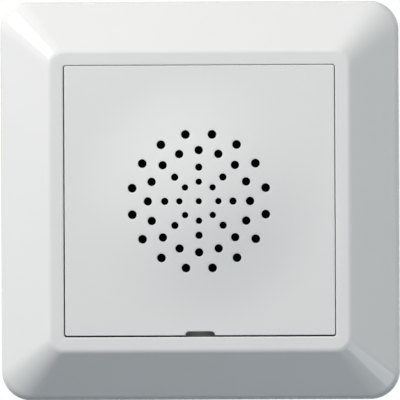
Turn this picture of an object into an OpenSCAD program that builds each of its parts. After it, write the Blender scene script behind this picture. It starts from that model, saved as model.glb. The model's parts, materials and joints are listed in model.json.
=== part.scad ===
// Door chime for a 60 mm flush wall box: sloped square frame, perforated cover plate and round insert.
// Everything is drawn lying on its back with the front up: x to the right, y up the wall, z out of the
// wall, and z = 0 on the wall. on_wall() then stands it up, so that the front faces -Y and Z is up.
// All sizes are in millimetres.

/* [Frame] */
// Width and height of the square frame
frame_w = 81; // [76:0.5:90]
// Height of the frame's rim above the wall
frame_h = 10.5; // [10:0.1:13]
// Height of the upright side below the sloping bezel
frame_side_h = 2.5; // [2:0.1:3.5]
// Corner radius of the frame's outline
frame_corner_r = 6; // [4:0.1:9]
// Corner radius where the bezel meets the rim
rim_corner_r = 3; // [1.5:0.1:4.5]
// Width of the flat rim around the opening
rim_w = 2.8; // [2:0.1:3.5]
// Rounding between the upright side and the bezel
edge_round = 2.6; // [1:0.1:3]
// Rounding between the bezel and the rim
rim_round = 1.6; // [0.8:0.1:2.5]
// Thickness of the frame's shell, measured along z
frame_wall = 2.4; // [1.6:0.1:2.6]

/* [Cover plate] */
// Width and height of the square cover plate
plate_w = 54.9; // [54.5:0.1:56.5]
// Thickness of the cover plate
plate_t = 2; // [1.6:0.1:2.4]
// Corner radius of the cover plate
plate_corner_r = 0.5; // [0.3:0.1:1.5]
// Height of the shallow bulge around the sound holes
bulge_h = 2.3; // [1.6:0.1:2.6]
// How far the plate overhangs its skirt on each side
plate_lip = 1.45; // [1.2:0.05:1.6]
// Wall thickness of the skirt
skirt_t = 1.2; // [0.9:0.1:1.4]
// Width of the pry notch in the lower edge
notch_w = 6; // [4:0.5:12]
// Height of the pry notch
notch_h = 0.9; // [0.6:0.1:1.2]

/* [Sound holes] */
// Diameter of the centre hole
hole_d_0 = 1.25; // [0.8:0.05:2]
// Radius of the first ring of holes
hole_ring_1 = 4; // [3.5:0.1:4.6]
// Diameter of its holes
hole_d_1 = 1.25; // [0.8:0.05:2]
// Radius of the second ring of holes
hole_ring_2 = 6.95; // [6.4:0.1:7.6]
// Diameter of its holes
hole_d_2 = 1.45; // [0.8:0.05:2]
// Radius of the third ring of holes
hole_ring_3 = 10.4; // [9.8:0.1:11]
// Diameter of its holes
hole_d_3 = 1.65; // [0.8:0.05:2.2]
// Radius of the fourth ring of holes
hole_ring_4 = 13.85; // [13.2:0.1:14.2]
// Diameter of its holes
hole_d_4 = 1.75; // [0.8:0.05:2.2]

/* [Support ring] */
// How far the frame overhangs the support ring on each side
ring_margin = 5; // [4:0.5:6]
// Sheet thickness of the support ring
ring_t = 1.2; // [1:0.1:1.5]
// Spacing of the two box screws
box_screw_spacing = 60; // [59.5:0.5:60.5]
// Width of the box-screw slots
slot_w = 3.8; // [3.2:0.1:4.2]
// Length of the box-screw slots
slot_len = 6.4; // [5.5:0.1:6.8]

/* [Insert] */
// Outer diameter of the insert cup
cup_d = 52.4; // [51.6:0.2:52.8]
// Width of the insert cup across its two flats
cup_flat_w = 41.2; // [37:0.2:42]
// Depth of the insert cup behind the wall
cup_depth = 24; // [23.5:0.5:32]
// Wall thickness of the insert cup
cup_wall = 1.4; // [1.1:0.1:1.5]
// Thickness of the circuit board
board_t = 1.6; // [1:0.1:2]

/* [Loudspeaker] */
// Outer diameter of the loudspeaker
speaker_d = 36; // [35:0.5:36.5]
// Depth of the loudspeaker's basket under its flange
basket_depth = 6; // [5.4:0.1:6.4]
// Outer diameter of the magnet yoke
yoke_d = 18; // [17:0.5:19]
// Height of the magnet yoke
yoke_h = 5.9; // [5.4:0.1:6.2]
// Diameter of the magnet
magnet_d = 12; // [10:0.5:12.2]
// Travel of the cone each way
cone_travel = 0.4; // [0.2:0.05:0.5]

/* [Controls] */
// Diameter of the volume spindle and the tone button
control_d = 3.9; // [3.2:0.1:4.1]
// Travel of the tone button
button_travel = 0.5; // [0.3:0.1:0.7]

/* [Terminals] */
// Spacing of the terminal poles
pole_pitch = 5; // [5:0.1:5.4]
// Diameter of the wire entries
wire_hole_d = 2.7; // [2:0.1:2.8]
// Travel of the cage clamps
clamp_travel = 1.8; // [1.2:0.1:2]

/* [Claws] */
// Diameter of the claw screws
claw_screw_d = 3; // [2.5:0.1:3.2]
// Width of each claw
claw_w = 8; // [7:0.2:9]
// Reach of the claws behind the wall
claw_reach = 20; // [19:0.5:22]
// Diameter of the claw pivot pins
claw_pin_d = 1.6; // [1.2:0.1:1.8]

/* [Hidden] */
$fn = 48;

// clearances
plate_gap = 0.15;
plate_seat_gap = 0.1;
skirt_gap = 0.25;
carrier_gap = 0.4;
grip_gap = 0.1;
slide_gap = 0.2;
turn_gap = 0.06;
fit_gap = 0.03;

// levels along z, front to back
plate_back = frame_h - plate_t;
screen_t = 0.4;
screen_back = plate_back - screen_t;
carrier_top = plate_back - 1.5;
film_t = 0.25;
basket_t = 0.6;
seat_z = carrier_top - basket_t;
basket_back = seat_z - basket_depth;
yoke_back = basket_back - yoke_h;
board_front = yoke_back - 2.5;
board_back = board_front - board_t;
relief = 0.3;
cup_floor = -cup_depth + cup_wall;

// frame section
ring_w = frame_w - 2 * ring_margin;
ring_corner_r = 5;
relief_r = ring_w / 2 - 2.1;
frame_half = frame_w / 2;
open_half = plate_w / 2 + plate_gap;
rim_half = open_half + rim_w;
slope = (frame_h - frame_side_h) / (frame_half - rim_half);
foot_z = 0.05;
ledge_z = plate_back - plate_seat_gap;
skirt_half = plate_w / 2 - plate_lip;
collar_half = skirt_half + skirt_gap;
collar_out = open_half + 0.4;
collar_back = ledge_z - 1.6;
rim_under = frame_h - frame_wall - 0.6;
rib_out = ring_w / 2 - 0.4;
rib_in = rib_out - 1.2;
under_break = collar_out + 0.6 * (rim_half - collar_out);
cavity_half = frame_half - 2;
corner_steps = 8;

// cover plate and carrier
head_h = 1.8;
skirt_back = ring_t + head_h + 0.6;
carrier_half = skirt_half - skirt_t - carrier_gap;
carrier_w = 2 * carrier_half;
speaker_r = speaker_d / 2;
basket_r = speaker_r - 1.8;
screen_r = hole_ring_4 + hole_d_4 / 2 + 1.6;
bulge_r = skirt_half;
bulge_steps = 8;
hollow_r = screen_r - 1.2;
control_r = control_d / 2;

// insert
cup_r = cup_d / 2;
cup_flat = cup_flat_w / 2;
cup_in_r = cup_r - cup_wall;
cup_in_flat = cup_flat - cup_wall;
board_r = cup_in_r - 0.5;
board_flat = cup_in_flat - 0.3;
ring_hole_r = cup_in_r - 0.5;
ring_hole_flat = cup_in_flat - 0.3;
screw_rad = cup_in_r - 3.3;
screw_x = cup_in_flat - 4;
screw_up = sqrt(screw_rad * screw_rad - screw_x * screw_x);
low_screw_x = 8.2;
low_screw_up = -sqrt(screw_rad * screw_rad - low_screw_x * low_screw_x);
carrier_screws_at = [[screw_x, screw_up], [-screw_x, screw_up], [low_screw_x, low_screw_up]];
control_rad = speaker_r + 3;
control_x = cup_in_flat - 4.35;
control_up = -sqrt(control_rad * control_rad - control_x * control_x);
volume_at = [control_x, control_up];
tone_at = [-control_x, control_up];
leg_r = 2.2;
screw_r = 1.1;
screw_hole_r = 1.2;
screw_head_r = 2;
screw_head_h = 1.5;
vent_y0 = 2;
vent_len = 14;

// loudspeaker
coil_in_r = 6.5;
coil_out_r = 7.1;
yoke_in_r = 7.5;
pole_r = 6.2;
pole_t = 1.5;
yoke_floor_t = 1.2;
cone_r = basket_r - 3.2;
neck_z = basket_back + 2.8;
dome_h = 1.6;
cone_edge_z = carrier_top - 0.15;
roll_r = (basket_r - 0.5 - cone_r - 0.2) / 2;
roll_mid = cone_r + 0.2 + roll_r;
gasket_top = screen_back - 0.3;
lug_x = 2.6;
lug_y = basket_r - 3.4;
lug_w = 1.8;
lug_len = 3.2;
lug_t = 0.4;
lug_board_w = 9;
lug_board_t = 0.9;
lug_board_end = basket_r - 1;
lead_r = 0.55;
lead_end_y = board_r - 5.1;

// parts on the circuit board
chip_w = 12;
chip_d = 4.2;
chip_h = 2.4;
chip_y = -12.5;
capacitors_at = [[-12.2, 3, 4, 10.5], [12.2, 0, 3.2, 8.5], [11.5, -10.5, 2.6, 7]];
bridge_r = 4.6;
bridge_h = 5.5;
bridge_y = 12;
resistor_r = 1.1;
resistor_len = 6.3;
resistor_gap = 0.35;
resistor_x = screw_x - leg_r - resistor_gap - resistor_len / 2;
resistors_at = [[-3, -17.5], [-resistor_x, 12.6], [-resistor_x, 15.4]];
pot_r = 2.9;
pot_h = 3.6;
pot_pin_r = 1.4;
switch_w = 6;
switch_h = 3.4;
switch_pin_r = 1.2;

// terminals, measured up from the back face of the poles
pole_x = [-pole_pitch - 3, -3, pole_pitch - 3];
pole_y0 = -16.5;
pole_y1 = -7.5;
pole_back = -cup_depth;
screw_y = -12;
wire_wall = 1.8;
chamber_y0 = pole_y0 + wire_wall;
chamber_y1 = -9.3;
chamber_half = 2.15;
cage_half = 2;
cage_y0 = -14.5;
cage_y1 = -9.5;
head_z = pole_back + 0.6;
head_top = head_z + 1.6;
bar_z = pole_back + 6.2;
bar_t = 0.8;
wire_z = bar_z + bar_t + 1.4;
cage_back = bar_z - 1.4;
cage_front = wire_z + 1.4;
chamber_back = head_top + 0.2;
chamber_front = cage_front + 1;
foot_y1 = chamber_y1 + 1;
foot_t = 0.7;

// claws
claw_x = cup_flat + 3.2;
nut_in = cup_flat + 0.5;
nut_out = claw_x + 2.7;
nut_half = 3.6;
nut_h = 3;
nut_z = -13.4;
nut_travel = 6;
pin_r = claw_pin_d / 2;
pin_x = nut_out + 0.7;
pin_z = -2.4;
knuckle_r = pin_r + 0.6;
claw_half = claw_w / 2;
claw_in = nut_out + 0.3;
claw_t = 1.2;
ramp_half = 1.9;
ramp_top_z = -6;
ramp_top_x = claw_in - 2;
ear_t = 1.2;
ear_gap = 0.3;
ear_half = claw_half + ear_gap + ear_t;
claw_screw_r = claw_screw_d / 2;
claw_head_r = 2.7;
claw_screw_end = -17;

// stands the part up against the wall
module on_wall() rotate([90, 0, 0]) children();

// draws a piece of the right-hand claw again on the left
module on_left() rotate([0, 0, 180]) children();

function unit(v) = v / norm(v);

// points of the arc that rounds corner p1 between p0 and p2
function round_corner(p0, p1, p2, r, steps) =
    let (u = unit(p0 - p1), v = unit(p2 - p1), half = acos(u * v) / 2)
    let (c = p1 + unit(u + v) * r / sin(half))
    let (s = p1 + u * r / tan(half) - c, e = p1 + v * r / tan(half) - c)
    let (a0 = atan2(s.y, s.x), turn = (atan2(e.y, e.x) - a0 + 540) % 360 - 180)
    [for (i = [0:steps]) c + r * [cos(a0 + turn * i / steps), sin(a0 + turn * i / steps)]];

// corner radius of the frame's section at half-width a
function frame_r(a) =
    a >= rim_half
    ? rim_corner_r + (frame_corner_r - rim_corner_r) * (a - rim_half) / (frame_half - rim_half)
    : max(0.3, plate_corner_r + plate_gap + (rim_corner_r - plate_corner_r - plate_gap) * (a - open_half) / rim_w);

// one rounded square of half-width a, corner radius r, at height z
function square_ring(a, r, z) = [
    for (q = [0:3], i = [0:corner_steps])
    let (t = 90 * q + 90 * i / corner_steps, m = a - r)
    [m * [1, -1, -1, 1][q] + r * cos(t), m * [1, 1, -1, -1][q] + r * sin(t), z]];

// height of the shell's underside below the bezel
function under_z(a) = frame_side_h + (frame_half - a) * slope - frame_wall;

// the frame's section as half-width and height, once around from the outer foot
frame_section = concat(
    [[frame_half, foot_z]],
    round_corner([frame_half, 0], [frame_half, frame_side_h], [rim_half, frame_h], edge_round, 5),
    round_corner([frame_half, frame_side_h], [rim_half, frame_h], [open_half, frame_h], rim_round, 4),
    round_corner([rim_half, frame_h], [open_half, frame_h], [open_half, ledge_z], 0.3, 3),
    [
        [open_half, ledge_z], [collar_half, ledge_z], [collar_half, collar_back], [collar_out, collar_back],
        [collar_out, rim_under], [under_break, rim_under],
        [rib_in, under_z(rib_in)], [rib_in, ring_t + 0.1], [rib_out, ring_t + 0.1], [rib_out, under_z(rib_out)],
        [cavity_half, under_z(cavity_half)], [cavity_half, foot_z]
    ]);

// closed skin through rings of n points each, the last ring joined to the first
module ring_loop(points, n) {
    count = len(points) / n;
    faces = [
        for (i = [0:count - 1], j = [0:n - 1])
        let (k = (i + 1) % count, l = (j + 1) % n)
        each [[i * n + j, k * n + j, k * n + l], [i * n + j, k * n + l, i * n + l]]];
    polyhedron(points, faces);
}

module rounded_square(w, r) {
    square([w - 2 * r, w], center = true);
    square([w, w - 2 * r], center = true);
    for (x = [-1, 1], y = [-1, 1]) translate([x, y] * (w / 2 - r)) circle(r);
}

// circle of radius r cut by two upright flats
module flatted_circle(r, flat) intersection() {
    circle(r);
    square([2 * flat, 4 * r], center = true);
}

// upright rod between two heights
module rod(at, r, z0, z1) translate([at.x, at.y, z0]) cylinder(r = r, h = z1 - z0);

// block between two corners
module block(p, q) translate(p) cube(q - p);

module cover_frame() color("white") {
    points = [for (p = frame_section) each square_ring(p.x, frame_r(p.x), p.y)];
    ring_loop(points, 4 * (corner_steps + 1));
}

module hole_ring(count, ring_r, d, start = 0)
    for (i = [0:count - 1]) rotate(start + 360 * i / count) translate([ring_r, 0]) circle(d = d);

module sound_holes() {
    circle(d = hole_d_0);
    hole_ring(8, hole_ring_1, hole_d_1);
    hole_ring(8, hole_ring_2, hole_d_2);
    hole_ring(16, hole_ring_3, hole_d_3);
    hole_ring(16, hole_ring_4, hole_d_4, 11.25);
}

// pry notch with rounded upper corners
module pry_notch() {
    r = 0.6;
    translate([0, -plate_w / 2]) {
        square([notch_w, 2 * (notch_h - r)], center = true);
        translate([-notch_w / 2 + r, -1]) square([notch_w - 2 * r, 1 + notch_h]);
        for (x = [-1, 1]) translate([x * (notch_w / 2 - r), notch_h - r]) circle(r);
    }
}

// height of the bulge over the plate at radius r: a soft swell that runs out flat
function bulge_z(r) = bulge_h / 2 * (1 + cos(180 * r / bulge_r));

// solid of revolution under the bulge's curve out to radius r, lowered by drop, with its foot at height foot
module swell(r, drop, foot, end) rotate_extrude() polygon([
    [0, foot], [r, foot], [r, end],
    for (i = [bulge_steps - 1:-1:0]) let (a = r * i / bulge_steps) [a, bulge_z(a) - drop]]);

module cover_plate() color("whitesmoke") {
    difference() {
        union() {
            translate([0, 0, plate_back]) linear_extrude(plate_t) difference() {
                rounded_square(plate_w, plate_corner_r);
                pry_notch();
            }
            translate([0, 0, frame_h]) swell(bulge_r, 0, -0.6, -0.3);
        }
        // hollow behind the holes, inside the ring where the dust screen is glued on
        translate([0, 0, plate_back]) swell(hollow_r, bulge_z(hollow_r), -1, 0);
        translate([0, 0, plate_back - 1]) linear_extrude(plate_t + bulge_h + 2) sound_holes();
    }
    translate([0, 0, skirt_back]) linear_extrude(plate_back - skirt_back) difference() {
        square(2 * skirt_half, center = true);
        square(2 * (skirt_half - skirt_t), center = true);
        for (x = [-1, 1], y = [-1, 1]) translate([x, y] * skirt_half) square(6, center = true);
    }
    // ribs that grip the carrier
    for (a = [0:90:270], y = [-14, 14]) rotate([0, 0, a])
        block([carrier_half + grip_gap, y - 2, skirt_back], [carrier_half + carrier_gap + 0.1, y + 2, plate_back]);
}

module dust_screen() color("black") rod([0, 0], screen_r, screen_back, plate_back);

// slot along y with round ends
module box_slot(y) {
    run = slot_len - slot_w;
    for (s = [-1, 1]) rod([0, y + s * run / 2], slot_w / 2, -1, ring_t + 1);
    block([-slot_w / 2, y - run / 2, -1], [slot_w / 2, y + run / 2, ring_t + 1]);
}

// bent ear that holds one end of a claw's pivot pin
module claw_ear(y) difference() {
    block([pin_x - 1.6, y, pin_z - 1.8], [pin_x + 1.6, y + ear_t, relief + 0.2]);
    translate([pin_x, y - 1, pin_z]) rotate([-90, 0, 0]) cylinder(r = pin_r + fit_gap, h = ear_t + 2);
}

module ring_side() {
    claw_ear(claw_half + ear_gap);
    claw_ear(-claw_half - ear_gap - ear_t);
}

module support_ring() color("silver") {
    difference() {
        linear_extrude(ring_t) rounded_square(ring_w, ring_corner_r);
        rod([0, 0], relief_r, -1, relief);
        translate([0, 0, -1]) linear_extrude(ring_t + 2) flatted_circle(ring_hole_r, ring_hole_flat);
        for (s = [-1, 1]) box_slot(s * box_screw_spacing / 2);
        for (s = [-1, 1]) rod([s * claw_x, 0], claw_screw_r + turn_gap, -1, ring_t + 1);
    }
    ring_side();
    on_left() ring_side();
}

module speaker_carrier() color("lightgray") difference() {
    union() {
        translate([0, 0, ring_t]) linear_extrude(carrier_top - ring_t) rounded_square(carrier_w, 2);
        for (p = carrier_screws_at) rod(p, leg_r, board_front, ring_t + 1);
    }
    rod([0, 0], basket_r + 0.3, ring_t - 1, carrier_top + 1);
    rod([0, 0], speaker_r + 0.15, seat_z, carrier_top + 1);
    for (s = [-1, 1]) {
        x = s * (carrier_half + claw_x - claw_head_r - 0.5) / 2;
        w = carrier_half - claw_x + claw_head_r + 0.5;
        translate([x, 0, 0]) cube([w + 0.001, 2 * claw_head_r + 1.8, 4 * carrier_top], center = true);
    }
    for (p = carrier_screws_at) {
        rod(p, screw_hole_r, board_front - 1, carrier_top + 1);
        rod(p, screw_head_r + slide_gap, carrier_top - 1.8, carrier_top + 1);
    }
    for (p = [volume_at, tone_at]) rod(p, control_r + turn_gap, ring_t - 1, carrier_top + 1);
    // room for the tone button's collar
    rod(tone_at, control_r + 0.9, ring_t - 1, ring_t + 1.6);
}

module insert_cup() color("dimgray") difference() {
    union() {
        difference() {
            translate([0, 0, -cup_depth]) linear_extrude(cup_depth + relief) flatted_circle(cup_r, cup_flat);
            translate([0, 0, cup_floor]) linear_extrude(cup_depth + 2) flatted_circle(cup_in_r, cup_in_flat);
        }
        for (p = carrier_screws_at) {
            rod(p, leg_r, cup_floor - 0.5, board_back);
            // web from the boss to the wall
            rotate([0, 0, atan2(p.y, p.x)])
                block([norm(p), -0.6, cup_floor - 0.5], [cup_in_r + 0.4, 0.6, board_back - 2]);
        }
    }
    for (p = carrier_screws_at) rod(p, screw_r + fit_gap, cup_floor, board_back + 1);
    block([pole_x[0] - pole_pitch / 2 - 0.2, pole_y0 - 0.2, -cup_depth - 1],
        [pole_x[2] + pole_pitch / 2 + 0.2, pole_y1 + 0.2, cup_floor + 0.5]);
    // window for the bell wires
    block([pole_x[0] - 2.4, -cup_r - 1, wire_z - 3.8], [pole_x[2] + 2.4, pole_y0 - 1.5, wire_z + 3.4]);
    // vents in the floor
    for (x = [-6:4:6])
        block([x - 0.7, vent_y0, -cup_depth - 1], [x + 0.7, vent_y0 + vent_len, cup_floor + 0.5]);
}

module carrier_screws() color("gray") for (p = carrier_screws_at) difference() {
    union() {
        rod(p, screw_r, board_back - 7, carrier_top - 1);
        rod(p, screw_head_r, carrier_top - 1.8, carrier_top - 1.8 + screw_head_h);
    }
    for (a = [0, 90]) translate([p.x, p.y, carrier_top - 0.3]) rotate([0, 0, a]) cube([2.6, 0.5, 1.4], center = true);
}

// ring turned from a section of radius and height points
module turned(points) rotate_extrude($fn = 72) polygon(points);

module tube(r0, r1, z0, z1) turned([[r0, z0], [r1, z0], [r1, z1], [r0, z1]]);

module speaker_gasket() color("black") tube(basket_r - 0.3, speaker_r - 0.2, carrier_top + film_t, gasket_top);

module speaker_basket() color("darkgray") difference() {
    turned([
        [yoke_in_r, basket_back], [basket_r, basket_back], [basket_r, seat_z], [speaker_r, seat_z],
        [speaker_r, carrier_top], [basket_r - basket_t, carrier_top],
        [basket_r - basket_t, basket_back + basket_t], [yoke_in_r, basket_back + basket_t]]);
    for (a = [0, 60, 120, 180, 240, 300]) rotate([0, 0, a])
        block([basket_r - 2, -3, basket_back + 1.6], [basket_r + 1, 3, seat_z - 1]);
}

// half roll that hangs the cone in the basket, with its lip glued to the flange
module speaker_surround() color("black") {
    out = [for (a = [180:15:360]) [roll_mid + roll_r * cos(a), carrier_top + roll_r * sin(a)]];
    in = [for (a = [360:-15:180]) [roll_mid + (roll_r - film_t) * cos(a), carrier_top + (roll_r - film_t) * sin(a)]];
    turned(concat(
        [for (p = out) if (p.x < basket_r - 0.75) p],
        [[basket_r - 0.7, carrier_top], [speaker_r - 0.3, carrier_top], [speaker_r - 0.3, carrier_top + film_t],
            [basket_r - 0.75 - film_t, carrier_top + film_t]],
        [for (p = in) if (p.x < basket_r - 0.75 - film_t) p]));
}

// cone and dome in one film, standing on the voice coil's former
module speaker_cone() color("dimgray") {
    dome = [for (a = [90:-10:10]) [coil_out_r * cos(a), neck_z + dome_h * sin(a)]];
    under = [for (a = [10:10:90]) [(coil_out_r - 0.4) * cos(a), neck_z + (dome_h - film_t) * sin(a)]];
    turned(concat(
        dome, [[coil_out_r + 0.3, neck_z + film_t], [cone_r, cone_edge_z]],
        [[cone_r, cone_edge_z - film_t], [coil_out_r + 0.4, neck_z], [coil_in_r, neck_z]],
        [for (p = under) [min(p.x, coil_in_r), p.y]]));
}

module voice_coil() color("peru") turned([
    [coil_in_r, basket_back - 2], [coil_out_r, basket_back - 2], [coil_out_r, basket_back + 0.6],
    [coil_in_r + 0.2, basket_back + 0.6], [coil_in_r + 0.2, neck_z], [coil_in_r, neck_z]]);

module speaker_pole_plate() color("silver")
    rod([0, 0], pole_r, basket_back - 0.2 - pole_t, basket_back - 0.2);

module speaker_magnet() color("slategray")
    rod([0, 0], magnet_d / 2, yoke_back + yoke_floor_t, basket_back - 0.2 - pole_t);

module speaker_yoke() color("silver") turned([
    [0, yoke_back], [yoke_d / 2, yoke_back], [yoke_d / 2, basket_back], [yoke_in_r, basket_back],
    [yoke_in_r, yoke_back + yoke_floor_t], [0, yoke_back + yoke_floor_t]]);

module speaker_lug_board() color("saddlebrown")
    block([-lug_board_w / 2, yoke_d / 2 + 0.4, basket_back - lug_board_t],
        [lug_board_w / 2, lug_board_end, basket_back]);

module speaker_lugs() color("gold") for (s = [-1, 1])
    block([s * lug_x - lug_w / 2, lug_y - lug_len / 2, basket_back - lug_board_t - lug_t],
        [s * lug_x + lug_w / 2, lug_y + lug_len / 2, basket_back - lug_board_t]);

// point of a cubic curve at t
function curve(p, t) =
    pow(1 - t, 3) * p[0] + 3 * t * pow(1 - t, 2) * p[1] + 3 * t * t * (1 - t) * p[2] + pow(t, 3) * p[3];

// lead from a lug down to the board, in the plane of one x
module speaker_lead(x) {
    steps = 14;
    sides = 8;
    z0 = basket_back - lug_board_t - lug_t;
    bend = (z0 - board_front) * 0.55;
    p = [[lug_y, z0], [lug_y, z0 - bend], [lead_end_y, board_front + bend], [lead_end_y, board_front]];
    spine = [for (i = [0:steps]) curve(p, i / steps)];
    run = [for (i = [0:steps]) i == 0 || i == steps ? [0, -1] : unit(spine[i + 1] - spine[i - 1])];
    points = [
        for (i = [0:steps], j = [0:sides - 1])
        let (a = 360 * j / sides, c = lead_r * cos(a), s = lead_r * sin(a))
        [x + c, spine[i].x - s * run[i].y, spine[i].y + s * run[i].x]];
    skin = [
        for (i = [0:steps - 1], j = [0:sides - 1])
        let (k = (j + 1) % sides, a = i * sides, b = a + sides)
        each [[a + j, b + k, b + j], [a + j, a + k, b + k]]];
    first = [for (j = [sides - 1:-1:0]) j];
    last = [for (j = [0:sides - 1]) steps * sides + j];
    polyhedron(points, concat(skin, [first, last]));
}

module speaker_lead_red() color("red") speaker_lead(lug_x);

module speaker_lead_black() color("black") speaker_lead(-lug_x);

module circuit_board() color("green") difference() {
    translate([0, 0, board_back]) linear_extrude(board_t) flatted_circle(board_r, board_flat);
    for (p = carrier_screws_at) rod(p, screw_hole_r, board_back - 1, board_front + 1);
}

module sound_chip() color("black")
    block([-chip_w / 2, chip_y - chip_d / 2, board_front], [chip_w / 2, chip_y + chip_d / 2, board_front + chip_h]);

module capacitors() color("navy") for (c = capacitors_at) rod([c[0], c[1]], c[2], board_back - c[3], board_back);

module bridge_rectifier() color("black") rod([0, bridge_y], bridge_r, board_back - bridge_h, board_back);

module resistors() color("tan") for (p = resistors_at)
    translate([p.x, p.y, board_front + resistor_r]) rotate([0, 90, 0])
        cylinder(r = resistor_r, h = resistor_len, center = true);

module volume_pot_body() color("royalblue") difference() {
    rod(volume_at, pot_r, board_front, board_front + pot_h);
    rod(volume_at, pot_pin_r + turn_gap, board_front + 1, board_front + pot_h + 1);
}

module volume_spindle() color("white") difference() {
    union() {
        rod(volume_at, control_r, board_front + pot_h + slide_gap, carrier_top - 0.4);
        rod(volume_at, pot_pin_r, board_front + 1.4, board_front + pot_h + 0.4);
    }
    translate([volume_at.x, volume_at.y, carrier_top - 0.4]) cube([2 * control_r + 1, 0.7, 1.8], center = true);
}

module tone_switch_body() color("black") difference() {
    translate([tone_at.x, tone_at.y, board_front + switch_h / 2]) rotate([0, 0, atan2(tone_at.y, tone_at.x)])
        cube([switch_w, switch_w, switch_h], center = true);
    rod(tone_at, switch_pin_r + turn_gap, board_front + 0.6, board_front + switch_h + 1);
}

module tone_button() color("white") {
    stem_z = board_front + switch_h + button_travel + slide_gap;
    rod(tone_at, control_r, stem_z, carrier_top + 0.3);
    rod(tone_at, switch_pin_r, board_front + 1 + button_travel, stem_z + 0.5);
    // collar that keeps the button in the carrier
    rod(tone_at, control_r + 0.6, ring_t + 0.6, ring_t + 1.4);
}

module terminal_pole(x) difference() {
    block([x - pole_pitch / 2 + 0.02, pole_y0, pole_back], [x + pole_pitch / 2 - 0.02, pole_y1, board_back]);
    block([x - chamber_half, chamber_y0, chamber_back], [x + chamber_half, chamber_y1, chamber_front]);
    rod([x, screw_y], 2, pole_back - 1, chamber_back + 0.5);
    translate([x, pole_y0 - 1, wire_z]) rotate([-90, 0, 0]) cylinder(d = wire_hole_d, h = wire_wall + 2);
    // way for the contact's foot up to the board
    block([x - 1.1, chamber_y1 - 0.5, bar_z - 0.1], [x + 1.1, foot_y1 + slide_gap, board_back + 1]);
}

module terminal_block() color("darkgreen") for (x = pole_x) terminal_pole(x);

module terminal_contacts() color("gold") for (x = pole_x) {
    block([x - 1, cage_y0 + 0.1, bar_z], [x + 1, foot_y1, bar_z + bar_t]);
    block([x - 1, foot_y1 - foot_t, bar_z], [x + 1, foot_y1, board_back]);
}

module terminal_screw(x) difference() {
    union() {
        rod([x, screw_y], 1.75, head_z, head_top);
        rod([x, screw_y], 1.2, head_top - 0.2, bar_z - 0.2);
    }
    translate([x, screw_y, head_z]) cube([4, 0.6, 1.4], center = true);
}

// cage that the screw draws towards its head, pinching the wire against the contact
module terminal_clamp(x) difference() {
    block([x - cage_half, cage_y0, cage_back], [x + cage_half, cage_y1, cage_front + 0.8]);
    block([x - 1.3, cage_y0 - 1, cage_back + 1], [x + 1.3, cage_y1 + 1, cage_front]);
    rod([x, screw_y], 1.2 + turn_gap, cage_back - 1, cage_back + 2);
}

module terminal_screw_1() color("gold") terminal_screw(pole_x[0]);

module terminal_screw_2() color("gold") terminal_screw(pole_x[1]);

module terminal_screw_3() color("gold") terminal_screw(pole_x[2]);

module terminal_clamp_1() color("silver") terminal_clamp(pole_x[0]);

module terminal_clamp_2() color("silver") terminal_clamp(pole_x[1]);

module terminal_clamp_3() color("silver") terminal_clamp(pole_x[2]);

module claw_screw() color("silver") difference() {
    union() {
        rod([claw_x, 0], claw_screw_r, claw_screw_end, ring_t + 0.5);
        rod([claw_x, 0], claw_head_r, ring_t + 0.1, ring_t + head_h);
        // collar behind the ring keeps the screw in place
        rod([claw_x, 0], claw_screw_r + 0.6, relief - 0.7, relief - 0.1);
    }
    translate([claw_x, 0, ring_t + head_h]) cube([7, 0.8, 1.8], center = true);
}

module claw_nut() color("silver") difference() {
    block([nut_in, -nut_half, nut_z - nut_h], [nut_out, nut_half, nut_z]);
    rod([claw_x, 0], claw_screw_r + turn_gap, nut_z - nut_h - 1, nut_z + 1);
}

// toothed leg, swung out by the nut climbing its two inner ramps
module claw() color("silver") difference() {
    union() {
        translate([pin_x, -claw_half, pin_z]) rotate([-90, 0, 0]) cylinder(r = knuckle_r, h = claw_w);
        block([claw_in, -claw_half, -claw_reach], [claw_in + claw_t, claw_half, pin_z]);
        for (s = [0, 180]) translate([0, 0, 0]) rotate([90, 0, 0])
            translate([0, 0, s == 0 ? ramp_half : -claw_half]) linear_extrude(claw_half - ramp_half) polygon([
                [claw_in + 0.2, nut_z + 0.4], [claw_in, nut_z + 0.4], [ramp_top_x, ramp_top_z],
                [claw_in - 0.4, pin_z - knuckle_r * 0.6], [claw_in + 0.2, pin_z - knuckle_r * 0.6]]);
        // teeth
        for (z = [0, 2.2, 4.4]) rotate([90, 0, 0]) translate([0, 0, -claw_half]) linear_extrude(claw_w)
            polygon([[claw_in + claw_t - 0.2, z - claw_reach], [claw_in + claw_t - 0.2, z - claw_reach + 2],
                [claw_in + claw_t + 0.8, z - claw_reach + 0.4]]);
    }
    translate([pin_x, -claw_half - 1, pin_z]) rotate([-90, 0, 0]) cylinder(r = pin_r + turn_gap, h = claw_w + 2);
}

module claw_pin() color("gray") translate([pin_x, -ear_half, pin_z]) rotate([-90, 0, 0])
    cylinder(r = pin_r, h = 2 * ear_half);

module claw_pins() {
    claw_pin();
    on_left() claw_pin();
}

module claw_screw_left() on_left() claw_screw();

module claw_screw_right() claw_screw();

module claw_nut_left() on_left() claw_nut();

module claw_nut_right() claw_nut();

module claw_left() on_left() claw();

module claw_right() claw();

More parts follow.
